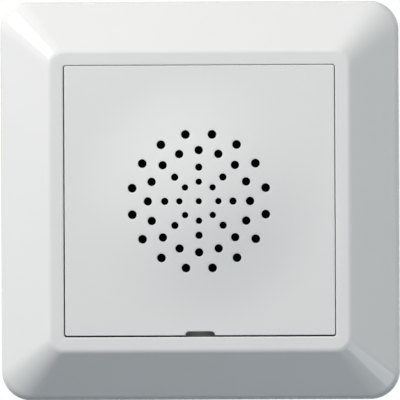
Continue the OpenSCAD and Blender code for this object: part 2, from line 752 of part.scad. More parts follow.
on_wall() cover_frame();
on_wall() cover_plate();
on_wall() dust_screen();
on_wall() support_ring();
on_wall() speaker_carrier();
on_wall() insert_cup();
on_wall() carrier_screws();
on_wall() speaker_gasket();
on_wall() speaker_basket();
on_wall() speaker_surround();
on_wall() speaker_cone();
on_wall() voice_coil();
on_wall() speaker_pole_plate();
on_wall() speaker_magnet();
on_wall() speaker_yoke();
on_wall() speaker_lug_board();
on_wall() speaker_lugs();
on_wall() speaker_lead_red();
on_wall() speaker_lead_black();
on_wall() circuit_board();
on_wall() sound_chip();
on_wall() capacitors();
on_wall() bridge_rectifier();
on_wall() resistors();
on_wall() volume_pot_body();
on_wall() volume_spindle();
on_wall() tone_switch_body();
on_wall() tone_button();
on_wall() terminal_block();
on_wall() terminal_contacts();
on_wall() terminal_screw_1();
on_wall() terminal_screw_2();
on_wall() terminal_screw_3();
on_wall() terminal_clamp_1();
on_wall() terminal_clamp_2();
on_wall() terminal_clamp_3();
on_wall() claw_screw_left();
on_wall() claw_screw_right();
on_wall() claw_nut_left();
on_wall() claw_nut_right();
on_wall() claw_left();
on_wall() claw_right();
on_wall() claw_pins();
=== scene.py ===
"""Looks of a wall chime: a sloped white frame, a perforated cover plate and the flush insert behind them.

Shapes are drawn in millimetres as they lie on the bench: x to the right, y up the wall, z out of the wall.
row() turns such a point into the part's own frame, in metres, with the front towards -Y and Z up.
"""

import json
import math

import bmesh
import bpy
from mathutils import Matrix, Vector, geometry


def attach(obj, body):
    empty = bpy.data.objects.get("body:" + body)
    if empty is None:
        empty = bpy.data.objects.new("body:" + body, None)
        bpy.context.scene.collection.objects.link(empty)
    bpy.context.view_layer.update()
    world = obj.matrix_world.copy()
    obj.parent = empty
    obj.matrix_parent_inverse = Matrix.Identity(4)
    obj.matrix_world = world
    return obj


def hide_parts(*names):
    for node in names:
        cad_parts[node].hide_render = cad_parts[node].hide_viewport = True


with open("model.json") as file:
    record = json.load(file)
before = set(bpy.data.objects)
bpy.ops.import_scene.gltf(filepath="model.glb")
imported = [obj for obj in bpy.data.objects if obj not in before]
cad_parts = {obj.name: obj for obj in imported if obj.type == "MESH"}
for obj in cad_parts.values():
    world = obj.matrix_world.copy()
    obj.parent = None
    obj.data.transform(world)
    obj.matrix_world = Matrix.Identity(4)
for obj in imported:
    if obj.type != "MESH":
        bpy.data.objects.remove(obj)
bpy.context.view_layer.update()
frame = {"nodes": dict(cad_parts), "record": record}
scene = bpy.context.scene
nodes = frame["nodes"]

MM = 0.001
FULL_TURN = 2 * math.pi


def row(x, y, z):
    return Vector((x, -z, y)) * MM


# materials


def add_node(tree, kind, linked, **inputs):
    """A shader node with some inputs linked and others set; a name's underscores stand for spaces."""
    made = tree.nodes.new(kind)
    for name, source in linked.items():
        tree.links.new(source, made.inputs[name])
    for name, value in inputs.items():
        made.inputs[name.replace("_", " ")].default_value = value
    return made


def map_range(tree, source, **ends):
    """The source moved from one span to another; ends that aren't given are 0 and 1."""
    return add_node(tree, "ShaderNodeMapRange", {"Value": source}, **ends).outputs["Result"]


def noise(tree, place, scale, detail=2.0):
    return add_node(tree, "ShaderNodeTexNoise", {"Vector": place}, Scale=scale, Detail=detail).outputs["Fac"]


def stretched(tree, place, scale):
    """Coordinates scaled unevenly, for drawn or brushed marks."""
    return add_node(tree, "ShaderNodeMapping", {"Vector": place}, Scale=scale).outputs["Vector"]


def bands(tree, place, axis, scale):
    made = add_node(tree, "ShaderNodeTexWave", {"Vector": place}, Scale=scale)
    made.bands_direction = axis
    return made.outputs["Fac"]


def combined(tree, operation, a, b):
    made = tree.nodes.new("ShaderNodeMath")
    made.operation = operation
    tree.links.new(a, made.inputs[0])
    tree.links.new(b, made.inputs[1])
    return made.outputs["Value"]


def mixed(tree, share, first, second):
    """One colour running into another as the share rises; each is three numbers or a node's output."""
    mix = tree.nodes.new("ShaderNodeMix")
    mix.data_type = "RGBA"
    tree.links.new(share, mix.inputs["Factor"])
    for socket, colour in (("A", first), ("B", second)):
        if isinstance(colour, tuple):
            mix.inputs[socket].default_value = (*colour, 1.0)
        else:
            tree.links.new(colour, mix.inputs[socket])
    return mix.outputs["Result"]


STRETCH = {"drawn": (1.0, 1.0, 0.06), "turned": (0.2, 1.0, 0.2)}


def height_pattern(tree, place, pattern, scale):
    """The surface's fine relief, from 0 to 1."""
    if pattern == "weave":
        return combined(tree, "MULTIPLY", *(bands(tree, place, axis, scale) for axis in "XZ"))
    if pattern == "wound":
        return bands(tree, place, "Y", scale)
    if pattern in STRETCH:
        place = stretched(tree, place, STRETCH[pattern])
    return noise(tree, place, scale)


# painted shade in narrow gaps: how far it looks for nearby surfaces in mm, and the occlusion share below
# which it is full and above which there is none
PAINTED_SHADE_REACH, PAINTED_SHADE_FULL, PAINTED_SHADE_NONE = 2.5, 0.08, 0.5


def with_painted_shade(tree, colour, shadow_colour):
    """The colour with painted shade: it falls to a dark colour where other surfaces stand close by."""
    near = add_node(tree, "ShaderNodeAmbientOcclusion", {}, Distance=PAINTED_SHADE_REACH * MM)
    spread = map_range(tree, near.outputs["AO"], From_Min=PAINTED_SHADE_FULL, From_Max=PAINTED_SHADE_NONE)
    return mixed(tree, spread, shadow_colour, colour)


CLOUD_SCALE, CLOUD_DETAIL = 90.0, 3.0


def surface(name, dark, light, rough, pattern, scale, depth, crevice=None, **fixed):
    """A material whose colour drifts between dark and light, in soft clouds or with its fine relief.

    rough is the lowest and highest roughness, depth the relief's height in millimetres,
    crevice the colour of the painted shade in narrow gaps, and fixed the shader's other inputs.
    """
    made = bpy.data.materials.new(name)
    made.use_nodes = True
    tree = made.node_tree
    shader = tree.nodes["Principled BSDF"]
    place = tree.nodes.new("ShaderNodeTexCoord").outputs["Object"]
    drift = noise(tree, place, CLOUD_SCALE, CLOUD_DETAIL)
    relief = height_pattern(tree, place, pattern, scale)
    colour = mixed(tree, drift if pattern in ("grain", "turned") else relief, dark, light)
    # painted shade: the colour darkens in narrow gaps, where shadow falls
    if crevice:
        colour = with_painted_shade(tree, colour, crevice)
    tree.links.new(colour, shader.inputs["Base Color"])
    shine = map_range(tree, relief, To_Min=rough[0], To_Max=rough[1])
    tree.links.new(shine, shader.inputs["Roughness"])
    bump = add_node(tree, "ShaderNodeBump", {"Height": relief}, Strength=1.0, Distance=depth * MM)
    tree.links.new(bump.outputs["Normal"], shader.inputs["Normal"])
    for socket, value in fixed.items():
        shader.inputs[socket.replace("_", " ")].default_value = value
    return made


WHITE_LOW, WHITE_HIGH = (0.805, 0.805, 0.795), (0.825, 0.825, 0.815)
# the colour of the painted shade in the gaps, crevices and the notch of the white plastics
PAINTED_GAP_SHADE = (0.012, 0.017, 0.014)

METAL, DULL = {"Metallic": 1.0}, {"Specular_IOR_Level": 0.12}
# both white plastics carry the painted shade in their gaps
GLOSSY_PLASTIC, SATIN_PLASTIC = {"crevice": PAINTED_GAP_SHADE, "IOR": 1.52}, {"crevice": PAINTED_GAP_SHADE, "IOR": 1.5}

# per slot: dark and light shade, span of roughness, relief with its scale and depth, and other inputs
FINISHES = {
    "frame_white": (WHITE_LOW, WHITE_HIGH, (0.05, 0.09), "grain", 900.0, 0.0004, GLOSSY_PLASTIC),
    "plate_white": (WHITE_LOW, WHITE_HIGH, (0.30, 0.40), "grain", 3000.0, 0.0015, SATIN_PLASTIC),
    "screen_black": ((0.002, 0.002, 0.002), (0.007, 0.007, 0.007), (0.75, 0.95), "weave", 1500.0, 0.05, DULL),
    "zinc_steel": ((0.41, 0.42, 0.44), (0.50, 0.51, 0.52), (0.26, 0.40), "drawn", 1600.0, 0.002, METAL),
    "carrier_grey": ((0.58, 0.59, 0.59), (0.63, 0.64, 0.63), (0.42, 0.55), "grain", 3500.0, 0.003, {}),
    "cup_grey": ((0.115, 0.12, 0.125), (0.15, 0.155, 0.16), (0.40, 0.55), "grain", 3000.0, 0.004, {}),
    "screw_steel": ((0.52, 0.53, 0.53), (0.66, 0.67, 0.66), (0.22, 0.36), "turned", 2600.0, 0.003, METAL),
    "gasket_black": ((0.018, 0.018, 0.018), (0.035, 0.035, 0.036), (0.65, 0.85), "grain", 4000.0, 0.01, {}),
    "basket_steel": ((0.50, 0.50, 0.49), (0.64, 0.63, 0.60), (0.3, 0.42), "turned", 1800.0, 0.003, METAL),
    "surround_black": ((0.012, 0.012, 0.013), (0.03, 0.03, 0.031), (0.45, 0.6), "grain", 2500.0, 0.004, {}),
    "cone_grey": ((0.05, 0.05, 0.052), (0.10, 0.10, 0.10), (0.5, 0.75), "grain", 5200.0, 0.012, {}),
    "copper": ((0.45, 0.17, 0.06), (0.80, 0.38, 0.18), (0.2, 0.35), "wound", 1900.0, 0.03, METAL),
    "pole_steel": ((0.45, 0.45, 0.45), (0.56, 0.56, 0.55), (0.3, 0.45), "turned", 2500.0, 0.003, METAL),
    "magnet_nickel": ((0.55, 0.54, 0.50), (0.66, 0.64, 0.59), (0.15, 0.25), "grain", 1500.0, 0.001, METAL),
    "yoke_steel": ((0.52, 0.52, 0.50), (0.64, 0.64, 0.60), (0.3, 0.42), "turned", 2000.0, 0.003, METAL),
    "lug_board_brown": ((0.22, 0.10, 0.04), (0.34, 0.17, 0.07), (0.4, 0.55), "drawn", 2200.0, 0.004, {}),
    "lug_tin": ((0.60, 0.59, 0.55), (0.74, 0.73, 0.68), (0.25, 0.4), "grain", 1800.0, 0.004, METAL),
    "lead_red": ((0.48, 0.012, 0.010), (0.56, 0.02, 0.016), (0.3, 0.4), "grain", 2500.0, 0.003, {}),
    "lead_black": ((0.012, 0.012, 0.013), (0.022, 0.022, 0.024), (0.3, 0.42), "grain", 2500.0, 0.003, {}),
    "board_green": ((0.012, 0.11, 0.045), (0.02, 0.17, 0.07), (0.25, 0.4), "drawn", 900.0, 0.006, {}),
    "chip_black": ((0.014, 0.014, 0.015), (0.028, 0.028, 0.028), (0.45, 0.6), "grain", 4200.0, 0.005, {}),
    "capacitor_blue": ((0.012, 0.02, 0.09), (0.02, 0.035, 0.14), (0.25, 0.35), "grain", 1500.0, 0.002, {}),
    "resistor_tan": ((0.46, 0.33, 0.19), (0.55, 0.42, 0.26), (0.35, 0.5), "grain", 2500.0, 0.004, {}),
    "pot_blue": ((0.03, 0.09, 0.33), (0.045, 0.13, 0.42), (0.4, 0.5), "grain", 3000.0, 0.003, {}),
    "spindle_white": ((0.70, 0.70, 0.67), (0.76, 0.76, 0.73), (0.4, 0.5), "grain", 3000.0, 0.003, {}),
    "button_black": ((0.02, 0.02, 0.021), (0.035, 0.035, 0.036), (0.4, 0.5), "grain", 3000.0, 0.003, {}),
    "terminal_green": ((0.02, 0.20, 0.085), (0.035, 0.26, 0.12), (0.38, 0.5), "grain", 3200.0, 0.003, {}),
    "terminal_brass": ((0.58, 0.42, 0.16), (0.72, 0.55, 0.25), (0.25, 0.38), "drawn", 2600.0, 0.003, METAL),
    "clamp_steel": ((0.52, 0.53, 0.54), (0.66, 0.67, 0.66), (0.28, 0.42), "drawn", 2400.0, 0.004, METAL),
}
LOOKS = {}
for slot_name, (*finish, others) in FINISHES.items():
    LOOKS[slot_name] = surface(slot_name, *finish, **others)
SLOT_OF = {s["node"]: s["material_slot"] for s in frame["record"]["subparts"]}


# mesh building


def smooth(obj, angle=40.0):
    """Smooth shading, sharp above the angle, with flat faces that stay flat beside their fillets."""
    obj.data.shade_smooth()
    obj.data.set_sharp_from_angle(angle=math.radians(angle))
    weighted = obj.modifiers.new("flat faces", "WEIGHTED_NORMAL")
    weighted.mode = "FACE_AREA"
    weighted.keep_sharp = True


def mesh_of(name, shells):
    """One mesh of closed shells, each a pair of points and faces, with every face turned outwards."""
    points, faces = [], []
    for shell_points, shell_faces in shells:
        start = len(points)
        points += [row(*p) for p in shell_points]
        faces += [[start + i for i in f] for f in shell_faces]
    mesh = bpy.data.meshes.new(name)
    mesh.from_pydata(points, [], faces)
    work = bmesh.new()
    work.from_mesh(mesh)
    bmesh.ops.recalc_face_normals(work, faces=work.faces)
    work.to_mesh(mesh)
    work.free()
    return mesh


def carved(shell, tools):
    """The shell with other closed shells cut out of it."""
    whole, cutter = [bpy.data.objects.new("draft", mesh_of("draft", shells)) for shells in ([shell], tools)]
    for obj in (whole, cutter):
        scene.collection.objects.link(obj)
    cut = whole.modifiers.new("cut", "BOOLEAN")
    cut.solver = "EXACT"
    cut.object = cutter
    result = whole.evaluated_get(bpy.context.evaluated_depsgraph_get()).to_mesh()
    points = [(v.co.x / MM, v.co.z / MM, -v.co.y / MM) for v in result.vertices]
    faces = [list(f.vertices) for f in result.polygons]
    for obj in (whole, cutter):
        mesh = obj.data
        bpy.data.objects.remove(obj)
        bpy.data.meshes.remove(mesh)
    return points, faces


def piece(name, shells, body, replaced, angle=40.0, slot=None):
    """One object made of closed shells that stands for the CAD nodes named."""
    obj = bpy.data.objects.new(name, mesh_of(name, shells))
    scene.collection.objects.link(obj)
    slot = slot or SLOT_OF[replaced[0]]
    obj.data.materials.append(LOOKS[slot])
    smooth(obj, angle)
    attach(obj, body)
    if replaced:
        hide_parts(*replaced)
    return obj


def arc(x, y, r, start, end, steps):
    """Points on an arc from one angle to another, in degrees."""
    angles = [math.radians(start + (end - start) * i / steps) for i in range(steps + 1)]
    return [(x + r * math.cos(a), y + r * math.sin(a)) for a in angles]


def circle(x, y, r, steps):
    return arc(x, y, r, 0, 360, steps)[:-1]


def rounded_rectangle(x0, y0, x1, y1, r, steps=5):
    corners = [(x1 - r, y1 - r, 0), (x0 + r, y1 - r, 90), (x0 + r, y0 + r, 180), (x1 - r, y0 + r, 270)]
    return [p for x, y, a in corners for p in arc(x, y, r, a, a + 90, steps)]


def grown(loop, by):
    """The loop, which runs anticlockwise, moved outwards."""
    made = []
    for i, here in enumerate(loop):
        before, here, after = Vector(loop[i - 1]), Vector(here), Vector(loop[(i + 1) % len(loop)])
        a, b = (here - before).normalized(), (after - here).normalized()
        normal = Vector((a.y + b.y, -a.x - b.x)).normalized()
        made.append(here + normal * by / max(0.5, normal.x * a.y - normal.y * a.x))
    return [tuple(p) for p in made]


def edge_levels(z0, z1, r, steps):
    """Heights and insets of a side wall from z0 up to z1 whose two edges are rounded by r."""
    return arc(z0 + r, r, r, 180, 270, steps) + arc(z1 - r, r, r, -90, 0, steps)


def inside(point, loop):
    """Whether a flat point lies inside a loop."""
    x, y = point
    crossings = 0
    for (x0, y0), (x1, y1) in zip(loop, loop[1:] + loop[:1]):
        if (y0 > y) != (y1 > y) and x < x0 + (x1 - x0) * (y - y0) / (y1 - y0):
            crossings += 1
    return crossings % 2 == 1


def fill_face(loops, inner):
    """Triangles inside the first loop and outside the others, which are round, over some inner points.

    A triangle counts the points of all loops first and the inner points after them.
    """
    flat = [p for loop in loops for p in loop]
    owner = [number for number, loop in enumerate(loops) for _ in loop]
    edges, start = [], 0
    for loop in loops:
        edges += [(start + j, start + (j + 1) % len(loop)) for j in range(len(loop))]
        start += len(loop)
    corners = [Vector(p) for p in [*flat, *inner]]
    _, _, faces, origins, *_ = geometry.delaunay_2d_cdt(corners, edges, [], 0, 1e-6)
    made = []
    for face in faces:
        triangle = [origins[i][0] for i in face]
        owners = {owner[i] if i < len(owner) else None for i in triangle}
        if len(owners) == 1 and None not in owners:
            middle = sum((corners[i] for i in triangle), Vector((0, 0))) / 3
            if owners != {0} or not inside(middle, loops[0]):
                continue
        made.append(triangle)
    return made


def quads(low, high, count):
    """Four-sided faces between two rings of points that start at low and at high."""
    return [[low + j, low + (j + 1) % count, high + (j + 1) % count, high + j] for j in range(count)]


def slab(outline, holes, z0, z1, r=0.12, steps=3, hole_round=0.12, skin=None, inner=()):
    """A flat shell between two heights, with holes through it and every edge rounded.

    skin, where it is given, is the rings of points of the outer side, from the floor's edge to the roof's,
    and inner is flat points that the floor and the roof have between their edges.
    """
    points, faces, floor, roof = [], [], [], []
    for number, loop in enumerate([outline, *holes]):
        inward = -1 if number == 0 else 1
        levels = edge_levels(z0, z1, hole_round if number else r, steps)
        side = [[(x, y, z) for x, y in grown(loop, inward * inset)] for z, inset in levels]
        if skin and number == 0:
            side = skin
        count, rings = len(loop), []
        for ring in side:
            rings.append(len(points))
            points += ring
        for low, high in zip(rings, rings[1:]):
            faces += quads(low, high, count)
        floor.append(rings[0])
        roof.append(rings[-1])
    sizes = [len(loop) for loop in [outline, *holes]]
    for starts in (floor, roof):
        index = [s + j for s, n in zip(starts, sizes) for j in range(n)]
        loops = [[points[s + j][:2] for j in range(n)] for s, n in zip(starts, sizes)]
        if inner:
            index += range(len(points), len(points) + len(inner))
            points += [(x, y, points[starts[0]][2]) for x, y in inner]
            triangles = fill_face(loops, inner)
        else:
            triangles = geometry.tessellate_polygon([[Vector((*p, 0)) for p in loop] for loop in loops])
        faces += [[index[i] for i in t] for t in triangles]
    return points, faces


def block(low, high, r=0.1):
    """A box between two corners with rounded edges."""
    (x0, y0, z0), (x1, y1, z1) = low, high
    return slab(rounded_rectangle(x0, y0, x1, y1, r, 3), [], z0, z1, r)


def round_corner(p0, p1, p2, r, steps):
    """Points of the arc that rounds the corner p1 between its neighbours p0 and p2."""
    p0, p1, p2 = Vector(p0), Vector(p1), Vector(p2)
    u, v = (p0 - p1).normalized(), (p2 - p1).normalized()
    half = u.angle(v) / 2
    centre = p1 + (u + v).normalized() * (r / math.sin(half))
    first = p1 + u * (r / math.tan(half)) - centre
    last = p1 + v * (r / math.tan(half)) - centre
    start = math.atan2(first.y, first.x)
    turn = (math.atan2(last.y, last.x) - start + 3 * math.pi) % FULL_TURN - math.pi
    return arc(centre.x, centre.y, r, math.degrees(start), math.degrees(start + turn), steps)


def rounded_section(corners):
    """A closed section from corners, each given as two coordinates, a rounding and its steps."""
    made = []
    for i, (a, z, r, steps) in enumerate(corners):
        before, after = corners[i - 1][:2], corners[(i + 1) % len(corners)][:2]
        made += round_corner(before, (a, z), after, r, steps) if steps else [(a, z)]
    return made


def ring_skin(rings, closed):
    """Points and faces of a skin through rings of equally many points."""
    count = len(rings[0])
    points = [p for ring in rings for p in ring]
    faces = []
    for i in range(len(rings) if closed else len(rings) - 1):
        faces += quads(i * count, (i + 1) % len(rings) * count, count)
    return points, faces


def capped(rings):
    """A closed shell through rings of equally many points, with flat ends."""
    points, faces = ring_skin(rings, closed=False)
    count = len(rings[0])
    return points, faces + [list(range(count)), list(range(len(points) - count, len(points)))]


def spun(shell, angle):
    """The shell turned about the part's middle, in radians."""
    points, faces = shell
    spin = Matrix.Rotation(angle, 3, "Z")
    return [tuple(spin @ Vector(p)) for p in points], faces


# cover frame

FRAME_HALF, FRAME_H, SIDE_H = 40.5, 10.5, 2.5
OPEN_HALF, RIM_HALF = 27.52, 30.4
OUTER_R, RIM_R, OPEN_R = 6.0, 3.0, 0.5
SLOPE = (FRAME_H - SIDE_H) / (FRAME_HALF - RIM_HALF)
SHELL = 2.4
CORNER_STEPS = 24


def frame_corner_r(a):
    """Corner radius of the frame at half-width a."""
    if a >= RIM_HALF:
        return RIM_R + (OUTER_R - RIM_R) * (a - RIM_HALF) / (FRAME_HALF - RIM_HALF)
    return max(0.3, OPEN_R + (RIM_R - OPEN_R) * (a - OPEN_HALF) / (RIM_HALF - OPEN_HALF))


def under_z(a):
    """Height of the bezel's underside at half-width a."""
    return SIDE_H + (FRAME_HALF - a) * SLOPE - SHELL


def frame_shell():
    """The hollow frame: bezel, rim, ledge and collar around the opening, and a rib behind the bezel."""
    foot_z, ledge_z, collar_half, collar_out, collar_back = 0.05, 8.4, 26.25, 28.0, 6.8
    rim_under, under_break, rib_in, rib_out, rib_back, cavity_half = 7.5, 29.44, 33.9, 35.1, 1.3, 38.5
    edge_r, rim_r, lip_r, foot_r, inner_r = 2.6, 1.6, 0.3, 0.25, 0.2
    section = rounded_section([
        (FRAME_HALF, foot_z, foot_r, 4), (FRAME_HALF, SIDE_H, edge_r, 14), (RIM_HALF, FRAME_H, rim_r, 12),
        (OPEN_HALF, FRAME_H, lip_r, 6), (OPEN_HALF, ledge_z, inner_r, 3), (collar_half, ledge_z, inner_r, 3),
        (collar_half, collar_back, inner_r, 3), (collar_out, collar_back, inner_r, 3),
        (collar_out, rim_under, inner_r, 3), (under_break, rim_under, 0, 0),
        (rib_in, under_z(rib_in), lip_r, 3), (rib_in, rib_back, foot_r, 3),
        (rib_out, rib_back, foot_r, 3), (rib_out, under_z(rib_out), lip_r, 3),
        (cavity_half, under_z(cavity_half), lip_r, 3), (cavity_half, foot_z, foot_r, 3)])
    rings = []
    for a, z in section:
        loop = rounded_rectangle(-a, -a, a, a, frame_corner_r(a), CORNER_STEPS)
        rings.append([(x, y, z) for x, y in loop])
    return ring_skin(rings, closed=True)


piece("cover_frame_shell", [frame_shell()], "frame", ["cover_frame"])

# cover plate

PLATE_HALF, PLATE_BACK = 27.35, 8.5
SKIRT_HALF, SKIRT_T, SKIRT_BACK = 26.0, 1.2, 3.6
BULGE_H, BULGE_R, HOLLOW_R = 2.28, 26.0, 15.125
# per ring of sound holes: their number, the ring's radius, their diameter and the first one's angle
HOLE_RINGS = [
    (1, 0.0, 1.26, 0.0), (8, 3.95, 1.30, 0.0), (8, 6.90, 1.475, 0.0), (16, 10.345, 1.705, 0.0),
    (16, 13.775, 1.78, 11.25),
]


def plate_outline():
    """The square plate with a pry notch in its lower edge, a little right and high in its opening."""
    r, half_notch, notch_h, notch_r, right, rise = 0.4, 3.0, 0.8, 0.75, 0.04, 0.115
    m, low = PLATE_HALF - r, -PLATE_HALF
    notch = [(-half_notch, low)]
    notch += arc(-half_notch + notch_r, low + notch_h - notch_r, notch_r, 180, 90, 6)
    notch += arc(half_notch - notch_r, low + notch_h - notch_r, notch_r, 90, 0, 6)
    notch += [(half_notch, low)]
    outline = arc(-m, -m, r, 180, 270, 8) + notch + arc(m, -m, r, 270, 360, 8)
    outline += arc(m, m, r, 0, 90, 8) + arc(-m, m, r, 90, 180, 8)
    return [(x + right, y + rise) for x, y in outline]


def sound_holes():
    """The middle and the radius of every sound hole; the holes sit a little left and low."""
    left, down, made = 0.073, 0.051, []
    for count, ring_r, d, start in HOLE_RINGS:
        for i in range(count):
            a = math.radians(start + 360 * i / count)
            made.append((ring_r * math.cos(a) - left, ring_r * math.sin(a) - down, d / 2))
    return made


def bulge(r):
    """Height of the plate's soft swell at a radius; it runs out flat."""
    return BULGE_H / 2 * (1 + math.cos(math.pi * min(r, BULGE_R) / BULGE_R))


def bulge_points(holes):
    """Flat points on rings over the bulge, clear of the holes."""
    ring_gap, step, fewest, clear, margin, made = 0.9, 1.1, 12, 0.42, 0.4, []
    rings = math.floor((BULGE_R + margin) / ring_gap)
    for i in range(1, rings + 1):
        r = i * ring_gap
        for x, y in circle(0, 0, r, max(fewest, round(FULL_TURN * r / step))):
            if all(math.hypot(x - hx, y - hy) > hr + clear for hx, hy, hr in holes):
                made.append((x, y))
    return made


def swelled(shell):
    """The flat plate pressed forward around its holes, and hollow behind them."""
    points, faces = shell
    middle, made = (PLATE_BACK + FRAME_H) / 2, []
    for x, y, z in points:
        r = math.hypot(x, y)
        rise = bulge(r) if z > middle else max(0.0, bulge(r) - bulge(HOLLOW_R))
        made.append((x, y, z + rise))
    return made, faces


def plate_shells():
    """The perforated plate, the four walls of its skirt, and two grip ribs inside each wall."""
    edge_r, hole_edge_r, wall_r, rib_r = 0.16, 0.08, 0.15, 0.12
    holes = sound_holes()
    loops = [circle(x, y, r, 28) for x, y, r in holes]
    inner = bulge_points(holes)
    face = slab(plate_outline(), loops, PLATE_BACK, FRAME_H, edge_r, 5, hole_edge_r, inner=inner)
    shells = [swelled(face)]
    wall_in, wall_half, wall_top = SKIRT_HALF - SKIRT_T, 23, PLATE_BACK + 0.3
    rib_in, rib_out, rib_half, rib_y = 24.5, 24.9, 2, 14
    side = [block((wall_in, -wall_half, SKIRT_BACK), (SKIRT_HALF, wall_half, wall_top), wall_r)]
    for y in (-rib_y, rib_y):
        side.append(block((rib_in, y - rib_half, SKIRT_BACK), (rib_out, y + rib_half, wall_top), rib_r))
    return shells + [spun(shell, quarter * math.pi / 2) for quarter in range(4) for shell in side]


plate_face = piece("cover_plate_face", plate_shells(), "plate", ["cover_plate"])

# cloth, film, felt and leads

CLOTH_R, CLOTH_Z, CLOTH_T, THREAD_PITCH, THREAD_LIFT = 16.3, 8.35, 0.14, 0.8, 0.06


def woven_sheet(r, z, thickness, pitch, lift):
    """A round cut of plain weave, its threads rising and dipping by the lift, closed at its edge."""
    cell = pitch / 4
    reach = math.ceil(r / cell) + 1
    top = {}
    for i in range(-reach, reach + 1):
        for j in range(-reach, reach + 1):
            x, y = i * cell, j * cell
            far = math.hypot(x, y)
            if far > r + cell:
                continue
            rise = math.sin(math.pi * x / pitch) * math.sin(math.pi * y / pitch)
            squeeze = min(1.0, r / far) if far > 0 else 1.0
            top[i, j] = (x * squeeze, y * squeeze, z + lift * rise * (far < r))
    index, points, faces, edges = {}, [], [], {}
    for i, j in top:
        corners = [(i, j), (i + 1, j), (i + 1, j + 1), (i, j + 1)]
        within = any(math.hypot(a * cell, b * cell) < r for a, b in corners)
        if not within or any(c not in top for c in corners):
            continue
        for c in corners:
            if c not in index:
                index[c] = len(points)
                points.append(top[c])
        faces.append([index[c] for c in corners])
    count = len(points)
    points += [(x, y, z0 - thickness) for x, y, z0 in points]
    for face in list(faces):
        faces.append([count + i for i in reversed(face)])
        for a, b in zip(face, face[1:] + face[:1]):
            edges[a, b] = True
    for a, b in edges:
        if (b, a) not in edges:
            faces.append([b, a, count + a, count + b])
    return points, faces


def turned(section, at=(0.0, 0.0), steps=96, lift=None):
    """A solid turned about an axis out of the wall.

    The section is closed, or starts and ends on the axis. lift gives how far the skin is raised
    at a radius and an angle.
    """
    x, y = at
    angles = [FULL_TURN * j / steps for j in range(steps)]
    rings = []
    for r, z in section:
        if r > 0:
            heights = [z + (lift(r, a) if lift else 0.0) for a in angles]
            rings.append([(x + r * math.cos(a), y + r * math.sin(a), h) for a, h in zip(angles, heights)])
    on_axis = section[0][0] == 0
    points, faces = ring_skin(rings, closed=not on_axis)
    if on_axis:
        for start, (_, z) in ((0, section[0]), (len(points) - steps, section[-1])):
            faces += [[start + j, start + (j + 1) % steps, len(points)] for j in range(steps)]
            points.append((x, y, z))
    return points, faces


def bump_window(r, low, high):
    """1 in the middle of a span of radius, falling to 0 at its ends."""
    if not low < r < high:
        return 0.0
    return math.sin(math.pi * (r - low) / (high - low)) ** 0.5


weave = woven_sheet(CLOTH_R, CLOTH_Z, CLOTH_T, THREAD_PITCH, THREAD_LIFT)
cloth = piece("dust_cloth", [weave], "plate", ["dust_screen"], 70.0)

GASKET_IN, GASKET_OUT, GASKET_BACK, GASKET_TOP = 15.9, 17.8, 7.25, 7.8
FELT_LIFT, FELT_CORNER, FELT_FOOT = 0.025, 0.2, 0.05
CARRIER_TOP, FILM = 7.0, 0.25
ROLL_R, ROLL_MID, LIP_R, LIP_IN = 1.25, 14.45, 17.7, 15.5
COIL_R, NECK_Z, DOME_H, CONE_R, CONE_EDGE_Z = 7.1, 3.2, 1.6, 13.0, 6.85


def felt_lift(r, a):
    """The felt's unevenness, none around the foot of its outer side."""
    if r == GASKET_OUT:
        return 0.0
    return FELT_LIFT * math.sin(23 * a + 3 * r) * math.sin(41 * a - 5 * r)


felt_top = GASKET_TOP - 0.03
felt = rounded_section([
    (GASKET_IN, GASKET_BACK, FELT_FOOT, 2), (GASKET_OUT, GASKET_BACK, FELT_FOOT, 2),
    (GASKET_OUT, felt_top, FELT_CORNER, 4), (GASKET_IN, felt_top, FELT_CORNER, 4)])
piece("felt_gasket", [turned(felt, steps=240, lift=felt_lift)], "insert", ["speaker_gasket"], 60.0)


def roll_lift(r, a):
    """Slanting ribs that stiffen the half roll."""
    rib_h, ribs, slant = 0.05, 48, 2.2
    window = bump_window(r, ROLL_MID - ROLL_R, ROLL_MID + ROLL_R - 0.2)
    return rib_h * math.sin(ribs * a + slant * r) * window


def surround_section():
    """The half roll, and the flat lip outside it."""
    slack, clear, thin = 0.001, 0.05, ROLL_R - FILM
    outer = arc(ROLL_MID, CARRIER_TOP, ROLL_R, 180, 360, 30)
    inner = arc(ROLL_MID, CARRIER_TOP, thin, 360, 180, 30)
    low, high = CARRIER_TOP + slack, CARRIER_TOP + FILM - slack
    lip = [(LIP_IN, low), (LIP_R, low), (LIP_R, high), (LIP_IN - FILM, high)]
    outer = [p for p in outer if p[0] < LIP_IN - clear]
    inner = [p for p in inner if p[0] < LIP_IN - FILM - clear]
    return outer + lip + inner


roll = turned(surround_section(), steps=288, lift=roll_lift)
piece("surround_roll", [roll], "insert", ["speaker_surround"], 60.0)


def cone_lift(r, a):
    """Radial ribs on the cone's flank."""
    rib_h, ribs = 0.10, 24
    return rib_h * max(0.0, math.cos(ribs * a)) ** 2 * bump_window(r, COIL_R + 0.9, CONE_R - 0.3)


def cone_section():
    """The film's front over the dome and up the flank, and its back the same way down again."""
    turns = [math.radians(4 * i) for i in range(21)]
    dome = [(COIL_R * math.sin(t), NECK_Z + DOME_H * math.cos(t)) for t in turns]
    fold, fold_z, rows = 0.3, NECK_Z + FILM, 24
    slope = (CONE_EDGE_Z - fold_z) / (CONE_R - COIL_R - fold)
    flank = []
    for i in range(1, rows + 1):
        out = (CONE_R - COIL_R - fold) * i / rows
        flank.append((COIL_R + fold + out, fold_z + slope * out))
    front = dome + [(COIL_R + fold / 2, fold_z + 0.02), (COIL_R + fold, fold_z)] + flank
    back = [(r + 0.1 * (r < CONE_R), z - FILM) for r, z in reversed(flank)]
    back += [(COIL_R + 0.4, NECK_Z), (COIL_R - 0.6, NECK_Z)]
    under = []
    for t in turns[18:0:-1]:
        r = min((COIL_R - 0.4) * math.sin(t), COIL_R - 0.6)
        under.append((r, NECK_Z + (DOME_H - FILM) * math.cos(t)))
    return front + back + under + [(0, NECK_Z + DOME_H - FILM)]


piece("cone_film", [turned(cone_section(), steps=288, lift=cone_lift)], "cone", ["speaker_cone"], 50.0)


